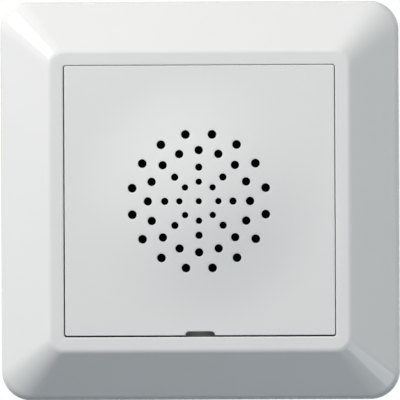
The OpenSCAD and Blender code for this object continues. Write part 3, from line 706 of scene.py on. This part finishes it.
def tube(path, r, sides=14):
    """A round tube with flat ends along a path of points in one plane of x."""
    rings = []
    for i, here in enumerate(path):
        before, after = Vector(path[max(i - 1, 0)]), Vector(path[min(i + 1, len(path) - 1)])
        run = (after - before).normalized()
        side = Vector((1, 0, 0))
        over = run.cross(side).normalized()
        angles = [FULL_TURN * j / sides for j in range(sides)]
        rings.append([tuple(Vector(here) + side * r * math.cos(a) + over * r * math.sin(a)) for a in angles])
    return capped(rings)


LUG_Y, LUG_BACK, PAD_Y, BOARD_FRONT, LUG_X = 12.8, -0.9, 19.2, -8.0, 2.6
LEAD_R = 0.55


def lead_path(x, steps=28):
    """The cubic sweep of a lead from its lug down to the board."""
    bend = (LUG_BACK - BOARD_FRONT) * 0.55
    stops = [(LUG_Y, LUG_BACK), (LUG_Y, LUG_BACK - bend), (PAD_Y, BOARD_FRONT + bend), (PAD_Y, BOARD_FRONT)]
    made = []
    for i in range(steps + 1):
        t = i / steps
        shares = ((1 - t) ** 3, 3 * t * (1 - t) ** 2, 3 * t * t * (1 - t), t ** 3)
        made.append((x, *(sum(share * stop[axis] for share, stop in zip(shares, stops)) for axis in (0, 1))))
    return made


def solder(x, y, z, up, r=0.85, h=0.55):
    """A domed joint on a lug or a pad, with a hollow flank."""
    crown, skirt, steps = 0.55, 0.45, 8
    section = [(0, z + up * h)]
    for t in [i / steps for i in range(1, steps + 1)]:
        section.append((r * (crown * t ** 0.5 + skirt * t ** 3), z + up * h * (1 - t)))
    return turned(section + [(0, z)], (x, y), 24)


for colour, x in (("red", LUG_X), ("black", -LUG_X)):
    wire = tube(lead_path(x), LEAD_R)
    piece(f"lead_wire_{colour}", [wire], "insert", [f"speaker_lead_{colour}"], 50.0)
joints = [solder(s * LUG_X, LUG_Y, LUG_BACK, -1) for s in (-1, 1)]
joints += [solder(s * LUG_X, PAD_Y, BOARD_FRONT, 1) for s in (-1, 1)]
piece("lead_solder", joints, "insert", [], 50.0, "lug_tin")

# claw screws


def threaded(at, r, core, z0, z1, pitch, sides=28, levels=6):
    """A rod with a right-hand thread cut into it."""
    x, y = at
    count = math.ceil((z1 - z0) / pitch * levels)
    rings = []
    for i in range(count + 1):
        z = z0 + (z1 - z0) * i / count
        ring = []
        for j in range(sides):
            turn = (z / pitch - j / sides) % 1.0
            fade = min(1.0, (z - z0) / pitch, (z1 - z) / pitch)
            far = core + (r - core) * (1 - abs(2 * turn - 1)) * fade
            a = FULL_TURN * j / sides
            ring.append((x + far * math.cos(a), y + far * math.sin(a), z))
        rings.append(ring)
    return capped(rings)


def slotted_head(at, r, z0, z1, slot_w, slot_d):
    """A round head with a straight screwdriver slot across its top."""
    x, y = at
    half = slot_w / 2
    side = math.degrees(math.asin(half / r))
    shells = [slab(circle(x, y, r, 48), [], z0, z1 - slot_d, 0.1, 3)]
    for start in (side, 180 + side):
        moon = arc(x, y, r, start, start + 180 - 2 * side, 40)
        shells.append(slab(moon, [], z1 - slot_d - 0.3, z1, 0.15, 4))
    return shells


CLAW_X, CLAW_R, CLAW_CORE, CLAW_END, CLAW_PITCH = 23.8, 1.5, 1.2, -17.0, 0.5
THREAD_TOP, NECK_LOW, NECK_TOP, NECK_BREAK = -0.3, -0.35, 1.4, 0.1
COLLAR_R, COLLAR_LOW, COLLAR_TOP = 2.1, -0.4, 0.2
HEAD_R, HEAD_LOW, HEAD_TOP, HEAD_SLOT_W, HEAD_SLOT_D = 2.7, 1.3, 3.0, 0.8, 0.9
claw_neck = [(0, NECK_LOW), (CLAW_R - NECK_BREAK, NECK_LOW), (CLAW_R, NECK_LOW + NECK_BREAK)]
claw_neck += [(CLAW_R, NECK_TOP), (0, NECK_TOP)]
for side, sign in (("left", -1), ("right", 1)):
    at = (sign * CLAW_X, 0.0)
    shells = [threaded(at, CLAW_R, CLAW_CORE, CLAW_END, THREAD_TOP, CLAW_PITCH)]
    shells.append(turned(claw_neck, at, 48))
    shells.append(slab(circle(*at, COLLAR_R, 48), [], COLLAR_LOW, COLLAR_TOP, 0.08, 3))
    shells += slotted_head(at, HEAD_R, HEAD_LOW, HEAD_TOP, HEAD_SLOT_W, HEAD_SLOT_D)
    piece(f"claw_bolt_{side}", shells, f"claw_screw_{side}", [f"claw_screw_{side}"], 35.0)

# carrier screws

SCREWS_AT = [(15.2, 15.2), (-15.2, 15.2), (8.2, -19.88)]
SCREW_R, SCREW_CORE, SCREW_PITCH, SCREW_END, SCREW_SEAT = 1.1, 0.85, 0.9, -16.6, 5.2


def cross_shape(x, y, reach, half, lean):
    """The outline of a cross that leans by some degrees, anticlockwise."""
    arm = [(reach, -half), (reach, half), (half, half)]
    made = []
    for quarter in range(4):
        spin = Matrix.Rotation(quarter * math.pi / 2 + math.radians(lean), 2)
        made += [tuple(spin @ Vector(p)) for p in arm]
    return [(x + a, y + b) for a, b in made]


def pan_screw(at, lean):
    """A self-tapping screw with a domed head and a cross recess."""
    cross_reach, cross_half, cross_floor, cross_top = 1.16, 0.27, SCREW_SEAT + 0.55, SCREW_SEAT + 2.0
    dome = [(0, 1.5), (0.5, 1.48), (1.0, 1.38), (1.4, 1.2), (1.7, 0.95), (1.9, 0.65), (2.0, 0.3)]
    foot = [(2.0, 0.08), (1.92, 0), (0, 0)]
    head = turned([(r, SCREW_SEAT + h) for r, h in dome + foot], at, 48)
    recess = slab(cross_shape(*at, cross_reach, cross_half, lean), [], cross_floor, cross_top, 0.04, 1)
    rod = threaded(at, SCREW_R, SCREW_CORE, SCREW_END, SCREW_SEAT + 0.2, SCREW_PITCH, 20, 5)
    return [carved(head, [recess]), rod]


FIRST_LEAN, LEAN_STEP = 17.3, 31.7
pan_screws = [s for i, at in enumerate(SCREWS_AT) for s in pan_screw(at, FIRST_LEAN + LEAN_STEP * i)]
piece("carrier_pan_screws", pan_screws, "insert", ["carrier_screws"], 35.0)

# insert cup

CUP_R, CUP_FLAT, CUP_BACK, CUP_FLOOR, CUP_FRONT, CUP_WALL = 26.2, 20.6, -24.0, -22.6, 0.3, 1.4
BOARD_BACK, BOSS_R, CUP_CORNER, CUP_EDGE = -9.6, 2.2, 1.5, 1.0
VENTS_X, VENT_HALF, VENT_LOW, VENT_HIGH = (-6, -2, 2, 6), 0.7, 2.0, 16.0
TERMINAL_OPENING, BARE_FIELD = (-10.7, -16.7, 4.7, -7.3), (-13.0, -5.4, 13.0, -0.2)
WIRE_OPENING = (-10.4, -27.5, -19.4), (4.4, -18.0, -12.2)


def cup_outline(inset):
    """The cup's round outline with two upright flats, moved inwards, its corners rounded."""
    r, flat, c = CUP_R - inset, CUP_FLAT - inset, max(0.4, CUP_CORNER - inset)
    x, y = flat - c, math.sqrt((r - c) ** 2 - (flat - c) ** 2)
    bend = math.degrees(math.atan2(y, x))
    half = arc(x, y, c, 0, bend, 6) + arc(0, 0, r, bend, 180 - bend, 48)[1:-1]
    half += arc(-x, y, c, 180 - bend, 180, 6)
    return half + [(-a, -b) for a, b in half]


def cup_skin():
    """The cup's rings from its back face round its outside and over the rim to its inner floor."""
    rim, foot, edge = 0.2, 0.4, CUP_EDGE
    levels = arc(CUP_BACK + edge, edge, edge, 180, 270, 6) + arc(CUP_FRONT - rim, rim, rim, -90, 0, 3)
    levels += [(CUP_FRONT, CUP_WALL - rim), (CUP_FRONT - rim, CUP_WALL)]
    levels += arc(CUP_FLOOR + foot, CUP_WALL + foot, foot, 270, 180, 3)
    return [[(x, y, z) for x, y in cup_outline(inset)] for z, inset in levels]


def cup_shells():
    """The cup with vents, openings for terminals and wires, a recessed bare field, and ribbed bosses."""
    vents = [rounded_rectangle(x - VENT_HALF, VENT_LOW, x + VENT_HALF, VENT_HIGH, 0.5) for x in VENTS_X]
    terminals = rounded_rectangle(*TERMINAL_OPENING, 0.2)
    body = slab(cup_outline(CUP_EDGE), [*vents, terminals], CUP_BACK, CUP_FLOOR, 0, 4, 0.25, cup_skin())
    wires = block(*WIRE_OPENING, 0.5)
    field = slab(rounded_rectangle(*BARE_FIELD, 0.8), [], CUP_BACK - 1, CUP_BACK + 0.25, 0.05, 2)
    shells = [carved(body, [wires, field])]
    bore, sunk, bevel, rib_half = SCREW_R + 0.03, CUP_FLOOR - 0.4, 0.2, 0.6
    rib_out, rib_top = CUP_R - CUP_WALL + 0.4, BOARD_BACK - 2
    for x, y in SCREWS_AT:
        boss = [(bore, sunk), (BOSS_R, sunk), (BOSS_R, BOARD_BACK - bevel)]
        boss += [(BOSS_R - bevel, BOARD_BACK), (bore + bevel, BOARD_BACK), (bore, BOARD_BACK - bevel)]
        shells.append(turned(boss, (x, y), 48))
        rib = block((math.hypot(x, y) + 1.5, -rib_half, sunk), (rib_out, rib_half, rib_top), 0.15)
        shells.append(spun(rib, math.atan2(y, x)))
    return shells


piece("cup_shell", cup_shells(), "insert", ["insert_cup"], 35.0)

# parts on the board

# per capacitor: its place, its radius and its height
CAPACITORS = [(-12.2, 3.0, 4.0, 10.5), (12.2, 0.0, 3.2, 8.5), (11.5, -10.5, 2.6, 7.0)]
CAN_RECESS = 0.3


def can_section(r, top, base):
    """Half of a capacitor's can: a recessed end, a rounded rim and a crimped groove near the board."""
    rim, groove_at, groove_h, groove_d = 0.6, base - 2.3, 1.1, 0.38
    made = [(0, top + CAN_RECESS), (r - 1.0, top + CAN_RECESS), (r - 0.92, top + 0.05), (r - 0.8, top)]
    made += arc(r - rim, top + rim, rim, -75, 0, 5)
    made += [(r - groove_d * math.sin(math.pi * i / 8), groove_at + groove_h * i / 8) for i in range(9)]
    return made + [(r, base - 0.3), (r - 0.2, base), (0, base)]


def can_end(x, y, r, top):
    """The bare end of a can, scored across into four quarters."""
    far, gap = r - 1.05, 0.07
    lean = math.degrees(math.asin(gap / far))
    made = []
    for quarter in range(4):
        spin = Matrix.Rotation(quarter * math.pi / 2, 2)
        outline = [(gap, gap)] + arc(0, 0, far, lean, 90 - lean, 12)
        outline = [(x + p.x, y + p.y) for p in [spin @ Vector(p) for p in outline]]
        made.append(slab(outline, [], top + 0.1, top + CAN_RECESS + 0.05, 0.03, 2))
    return made


def can_stripe(x, y, r, top, base):
    """The pale mark down a can's negative side."""
    first, last = 20, 62
    outline = arc(x, y, r + 0.03, first, last, 10) + arc(x, y, r - 0.1, last, first, 10)
    return slab(outline, [], top + 0.7, base - 2.5, 0.02, 1)


cans, can_ends, stripes = [], [], []
for x, y, r, h in CAPACITORS:
    top = BOARD_BACK - h
    cans.append(turned(can_section(r, top, BOARD_BACK), (x, y), 56))
    can_ends += can_end(x, y, r, top)
    stripes.append(can_stripe(x, y, r, top, BOARD_BACK))
piece("capacitor_cans", cans, "insert", ["capacitors"])
piece("capacitor_ends", can_ends, "insert", [], 40.0, "lug_tin")
piece("capacitor_stripes", stripes, "insert", [], 40.0, "carrier_grey")

BRIDGE_Y, BRIDGE_R, BRIDGE_TOP, STAND_OFF = 12.0, 4.6, -15.1, 0.8


def bridge_section():
    """Half of the round rectifier, drawn in a little towards its end."""
    r, top, base, rim, dish = BRIDGE_R, BRIDGE_TOP, BOARD_BACK - STAND_OFF, 0.6, 0.15
    made = [(0, top + dish), (2.2, top + dish), (2.35, top)]
    made += arc(r - 0.7, top + rim, rim, -90, 0, 6)
    return made + [(r, base - 0.3), (r - 0.25, base), (0, base)]


def pin(x, y, r, z0, z1):
    return turned([(0, z0), (r, z0), (r, z1), (0, z1)], (x, y), 20)


piece("bridge_can", [turned(bridge_section(), (0, BRIDGE_Y), 64)], "insert", ["bridge_rectifier"])
BRIDGE_PIN, BRIDGE_PIN_R, BRIDGE_PIN_END = 2.55, 0.45, BOARD_BACK - STAND_OFF - 0.3
bridge_feet = [(BRIDGE_PIN * a, BRIDGE_Y + BRIDGE_PIN * b) for a in (-1, 1) for b in (-1, 1)]
bridge_pins = [pin(x, y, BRIDGE_PIN_R, BOARD_BACK, BRIDGE_PIN_END) for x, y in bridge_feet]
piece("bridge_legs", bridge_pins, "insert", [], 40.0, "lug_tin")

CHIP_Y, CHIP_X, CHIP_HALF, CHIP_TOP, CHIP_LEGS, LEG_PITCH = -12.5, 6.0, 1.85, -5.6, 8, 1.5


def chip_body():
    """A moulded package, widest at its middle, with a dimple by its first leg and a notch in its end."""
    levels = [(BOARD_FRONT + 0.2, 0.3), (BOARD_FRONT + 1.2, 0.0), (BOARD_FRONT + 1.3, 0.0)]
    levels += [(CHIP_TOP - 0.1, 0.24), (CHIP_TOP, 0.34)]
    rings = []
    for z, inset in levels:
        x, y = CHIP_X - inset, CHIP_HALF - inset
        rings.append([(a, b, z) for a, b in rounded_rectangle(-x, CHIP_Y - y, x, CHIP_Y + y, 0.15, 3)])
    dimple = pin(-4.9, CHIP_Y - 0.8, 0.4, CHIP_TOP - 0.15, CHIP_TOP + 1)
    notch = pin(-CHIP_X + 0.2, CHIP_Y, 0.6, CHIP_TOP - 0.3, CHIP_TOP + 1)
    return carved(capped(rings), [dimple, notch])


def extruded(section, x0, x1):
    """A bar along x with a closed section of y and z points."""
    return capped([[(x, y, z) for y, z in section] for x in (x0, x1)])


def chip_legs():
    """Two rows of legs bent out and down to the board."""
    outer = [(1.6, -6.64), (2.40, -6.64), (2.56, -7.79), (3.05, -7.79)]
    inner = [(3.05, -8.0), (2.36, -8.0), (2.20, -6.86), (1.6, -6.86)]
    half, made = 0.28, []
    for i in range(CHIP_LEGS):
        x = (i - (CHIP_LEGS - 1) / 2) * LEG_PITCH
        for s in (-1, 1):
            made.append(extruded([(CHIP_Y + s * y, z) for y, z in outer + inner], x - half, x + half))
    return made


piece("chip_package", [chip_body()], "insert", ["sound_chip"], 30.0)
piece("chip_legs", chip_legs(), "insert", [], 30.0, "lug_tin")

RESISTORS = [(-3.0, -17.5), (-9.5, 12.6), (-9.5, 15.4)]
RESISTOR_R, RESISTOR_HALF, RESISTOR_CAP = 1.1, 3.15, 1.0


def laid(shell, x, y, z):
    """A turned shell laid along x, its middle at a point."""
    points, faces = shell
    return [(x + c, y + b, z + a) for a, b, c in points], faces


def on_resistors(section):
    """The same turned section on every resistor."""
    return [laid(turned(section, steps=40), x, y, BOARD_FRONT + RESISTOR_R) for x, y in RESISTORS]


def band(at, r):
    """A painted ring on a resistor, as a section."""
    half, low, high = 0.24, r - 0.06, r + 0.02
    return [(low, at - half), (high, at - half), (high, at + half), (low, at + half)]


waist, shoulder, cap_in = 0.94, 1.04, RESISTOR_HALF - RESISTOR_CAP
resistor = [(0, -cap_in - 0.1), (shoulder, -cap_in - 0.1)]
resistor += [(shoulder, -cap_in + 0.35), (waist, -cap_in + 0.75)]
resistor += [(r, -s) for r, s in reversed(resistor)]
piece("resistor_bodies", on_resistors(resistor), "insert", ["resistors"], 45.0)
tin_cap = [(0, cap_in), (RESISTOR_R - 0.05, cap_in), (RESISTOR_R, cap_in + 0.05)]
tin_cap += [(RESISTOR_R, RESISTOR_HALF - 0.3), (RESISTOR_R - 0.1, RESISTOR_HALF - 0.08)]
tin_cap += [(RESISTOR_R - 0.3, RESISTOR_HALF), (0, RESISTOR_HALF)]
caps = on_resistors(tin_cap) + on_resistors([(r, -s) for r, s in tin_cap])
resistor_ends = [(x + s * (RESISTOR_HALF - 0.3), y) for x, y in RESISTORS for s in (-1, 1)]
caps += [solder(x, y, BOARD_FRONT, 1, 1.0, 0.6) for x, y in resistor_ends]
piece("resistor_caps", caps, "insert", [], 45.0, "lug_tin")
BANDS = [
    ("brown", "lug_board_brown", -1.75, shoulder), ("dark", "lead_black", -0.85, waist),
    ("red", "lead_red", 0.05, waist), ("gold", "terminal_brass", 1.75, shoulder),
]
for colour, slot, at, r in BANDS:
    piece(f"resistor_bands_{colour}", on_resistors(band(at, r)), "insert", [], 45.0, slot)

TRACK_W, TRACK_T, TRACK_PAD_R = 0.7, 0.06, 0.8
SUNK_Z = BOARD_BACK + 0.1
TRACKS = [
    [(-8.0, -7.4), (-8.0, -2.0), (-5.5, 0.5), (-5.5, 6.5), (-2.55, 9.45)],
    [(-3.0, -7.4), (-3.0, 4.0), (2.55, 9.45)],
    [(2.0, -7.4), (2.0, -3.5), (6.0, 0.5), (9.4, 0.5)],
    [(2.55, 14.55), (5.0, 17.0), (8.0, 17.0), (8.0, 7.0), (11.6, 3.0)],
    [(-2.55, 14.55), (-5.5, 17.5), (-9.0, 17.5), (-9.0, 9.0), (-12.2, 6.6)],
    [(12.2, -3.0), (11.5, -5.0), (11.5, -8.2)],
    [(-14.0, -0.4), (-16.0, -3.0), (-16.0, -9.0), (-12.5, -13.0), (-12.5, -17.0), (-5.0, -19.5)],
]


def ribbon(path, half):
    """The outline of a flat strip along a path, anticlockwise."""
    right, left = [], []
    for i, here in enumerate(path):
        before, after = Vector(path[max(i - 1, 0)]), Vector(path[min(i + 1, len(path) - 1)])
        here = Vector(here)
        runs = [d.normalized() for d in (here - before, after - here) if d.length > 0]
        run = sum(runs, Vector((0, 0))).normalized()
        out = Vector((run.y, -run.x)) * half / max(0.5, run.dot(runs[0]))
        right.append(tuple(here + out))
        left.append(tuple(here - out))
    return right + left[::-1]


track_z, pad_z = BOARD_BACK - TRACK_T, BOARD_BACK - TRACK_T - 0.01
tracks = [slab(ribbon(path, TRACK_W / 2), [], track_z, SUNK_Z, 0.03, 1) for path in TRACKS]
tracks += [slab(circle(*path[-1], TRACK_PAD_R, 24), [], pad_z, SUNK_Z, 0.03, 1) for path in TRACKS]
piece("board_tracks", tracks, "insert", [], 40.0, "board_green")


def printed_ring(x, y, r):
    """A thin printed circle around a part's foot."""
    low, far = BOARD_BACK - 0.03, r + 0.22
    return turned([(r, low), (far, low), (far, SUNK_Z), (r, SUNK_Z)], (x, y), 64)


PRINT_CLEAR, CAN_LEG, TERMINALS_X, TERMINAL_PIN_Y = 0.3, 0.42, (-8.0, -3.0, 2.0), -8.6
printed = [printed_ring(x, y, r + PRINT_CLEAR) for x, y, r, _ in CAPACITORS]
printed.append(printed_ring(0, BRIDGE_Y, BRIDGE_R + PRINT_CLEAR))
piece("board_print", printed, "insert", [], 40.0, "spindle_white")
feet = [(x + s * CAN_LEG * r, y) for x, y, r, _ in CAPACITORS for s in (-1, 1)]
feet += bridge_feet + [(x, TERMINAL_PIN_Y) for x in TERMINALS_X]
board_joints = [solder(x, y, BOARD_FRONT, 1, 0.8, 0.6) for x, y in feet]
piece("board_joints", board_joints, "insert", [], 50.0, "lug_tin")

# the pot's case with its bush, and the button with its dished end and its collar, as radius and height
POT_AT, TONE_AT = (14.85, -14.85), (-14.85, -14.85)
pot = [(0, -7.0), (1.46, -7.0), (1.46, -4.5), (1.56, -4.4), (2.3, -4.4), (2.45, -4.55), (2.45, -5.2)]
pot += [(2.8, -5.3), (2.9, -5.4), (2.9, -7.8), (2.7, -8.0), (0, -8.0)]
piece("pot_case", [turned(pot, POT_AT, 56)], "insert", ["volume_pot_body"])
button = [(0, 7.08), (0.7, 7.12), (1.2, 7.22), (1.45, 7.3), (1.6, 7.29), (1.8, 7.2), (1.92, 7.05)]
button += [(1.95, 6.9), (1.95, 2.6), (2.45, 2.6), (2.55, 2.5), (2.55, 1.9), (2.45, 1.8), (1.95, 1.8)]
button += [(1.95, -3.8), (1.85, -3.9), (1.2, -3.9), (1.2, -6.4), (1.1, -6.5), (0, -6.5)]
piece("tone_cap", [turned(button, TONE_AT, 56)], "tone_button", ["tone_button"])

# CAD nodes that keep their own shape

WELD_REACH, EDGE_WIDTH, EDGE_ANGLE = 1e-6, 0.1 * MM, 35
for name, obj in nodes.items():
    if obj.hide_render:
        continue
    obj.data.materials.clear()
    obj.data.materials.append(LOOKS[SLOT_OF[name]])
    weld = obj.modifiers.new("weld", "WELD")
    weld.merge_threshold = WELD_REACH
    soften = obj.modifiers.new("soft edges", "BEVEL")
    soften.width = EDGE_WIDTH
    soften.segments = 2
    soften.limit_method = "ANGLE"
    soften.angle_limit = math.radians(EDGE_ANGLE)
    smooth(obj)

# floor, world, lamps and camera


def light_path_mix(tree, shown_colour, lit_colour):
    """The shown colour to the camera, in mirrors and through clear things; the lit colour to other light."""
    path = tree.nodes.new("ShaderNodeLightPath")
    seen = path.outputs["Is Camera Ray"]
    for kind in ("Is Glossy Ray", "Is Transmission Ray"):
        seen = combined(tree, "MAXIMUM", seen, path.outputs[kind])
    return mixed(tree, seen, lit_colour, shown_colour)


WHITE, BLACK, AMBIENT = (1.0, 1.0, 1.0), (0.0, 0.0, 0.0), (0.008, 0.009, 0.010)
scene.world = bpy.data.worlds.new("studio")
scene.world.use_nodes = True
world_tree = scene.world.node_tree
world_colour = light_path_mix(world_tree, WHITE, AMBIENT)
world_tree.links.new(world_colour, world_tree.nodes["Background"].inputs["Color"])

FLOOR_Z, FLOOR_R, FLOOR_SIDES = -0.45, 0.9, 96
PAPER_SHOWN, PAPER_LIT, PAPER_GLOW = (0.8, 0.8, 0.8), (0.03, 0.06, 0.09), (0.36, 0.38, 0.39)
floor_mesh = bpy.data.meshes.new("floor")
floor_points = [(x, y, FLOOR_Z) for x, y in circle(0, 0, FLOOR_R, FLOOR_SIDES)]
floor_mesh.from_pydata(floor_points, [], [list(range(FLOOR_SIDES))])
floor = bpy.data.objects.new("floor", floor_mesh)
scene.collection.objects.link(floor)
paper = surface("floor_paper", (0.78, 0.78, 0.78), (0.82, 0.82, 0.82), (0.7, 0.8), "grain", 900.0, 0.01)
paper_tree = paper.node_tree
paper_shader = paper_tree.nodes["Principled BSDF"]
paper_colours = {"Base Color": (PAPER_SHOWN, PAPER_LIT), "Emission Color": (PAPER_GLOW, BLACK)}
for socket, colours in paper_colours.items():
    paper_tree.links.new(light_path_mix(paper_tree, *colours), paper_shader.inputs[socket])
paper_shader.inputs["Emission Strength"].default_value = 1.0
floor_mesh.materials.append(paper)


COOL, UP, BACK = (0.926, 1.014, 1.06), (0, 0, 1), (0, 1, 0)


def lamp(name, polar, turn, distance, size, power, mirrored, up=BACK, colour=WHITE):
    """A rectangular lamp that faces the chime's middle, its second size along up.

    polar is its angle off the front, and turn its angle seen from the front, anticlockwise from the right.
    """
    data = bpy.data.lights.new(name, "AREA")
    data.shape = "RECTANGLE"
    data.size, data.size_y = size
    data.energy = power
    data.color = colour
    obj = bpy.data.objects.new(name, data)
    p, a = math.radians(polar), math.radians(turn)
    direction = Vector((math.sin(p) * math.cos(a), -math.cos(p), math.sin(p) * math.sin(a))).normalized()
    obj.location = direction * distance
    across = Vector(up).cross(direction).normalized()
    along = direction.cross(across)
    obj.rotation_euler = Matrix((across, along, direction)).transposed().to_euler()
    obj.visible_camera = False
    obj.visible_glossy = mirrored
    scene.collection.objects.link(obj)


# per lamp: both angles, its distance, its size, its power, and whether glossy surfaces mirror it
lamp("key", 64.5, 140.3, 1.0, (0.42, 0.30), 1.68, True)
lamp("soft_front", 34, 90, 0.8, (0.5, 0.4), 3.33, False)
lamp("soft_middle", 40, 92, 0.32, (0.3, 0.3), 0.08, False)
lamp("soft_left", 70, 150, 0.8, (0.5, 0.4), 3.58, False)
lamp("soft_right", 50, -30, 0.8, (0.5, 0.4), 0.85, False, colour=COOL)
lamp("edge_left", 103, 180, 0.8, (0.5, 0.4), 0.27, False)
lamp("edge_low", 103, 205, 0.8, (0.5, 0.4), 0.66, False)
lamp("rim_top", 105, 90, 0.9, (0.6, 0.2), 0.26, True)
lamp("rim_right", 75, 0, 1.0, (0.6, 0.4), 0.18, True, colour=COOL)
lamp("low_corner", 64.5, -34, 0.5, (0.21, 0.15), 0.177, True, colour=COOL)
lamp("behind_left", 140, 130, 0.9, (0.5, 0.5), 2.4, False, UP)
lamp("behind_right", 138, 25, 0.9, (0.5, 0.5), 1.8, False, UP)
lamp("glint_left", 140, 130, 0.9, (0.5, 0.5), 0.25, True, UP)
lamp("glint_right", 138, 25, 0.9, (0.5, 0.5), 0.2, True, UP)

CAMERA_DISTANCE, CAMERA_LENS = 2.0, 884.8
CAMERA_AZIMUTH, CAMERA_ELEVATION, CAMERA_ROLL = 1.0, 0.3, -0.265
AIM = row(-0.04, 0.146, 1.2)
camera_data = bpy.data.cameras.new("camera")
camera_data.sensor_width = 36.0
camera_data.lens = CAMERA_LENS
camera = bpy.data.objects.new("camera", camera_data)
azimuth, elevation = math.radians(CAMERA_AZIMUTH), math.radians(CAMERA_ELEVATION)
level = math.cos(elevation)
back = Vector((math.sin(azimuth) * level, -math.cos(azimuth) * level, math.sin(elevation)))
camera.location = AIM + back * CAMERA_DISTANCE
turn = (-back).to_track_quat("-Z", "Y").to_matrix() @ Matrix.Rotation(math.radians(CAMERA_ROLL), 3, "Z")
camera.rotation_euler = turn.to_euler()
scene.collection.objects.link(camera)
scene.camera = camera
scene.view_settings.view_transform = "Standard"
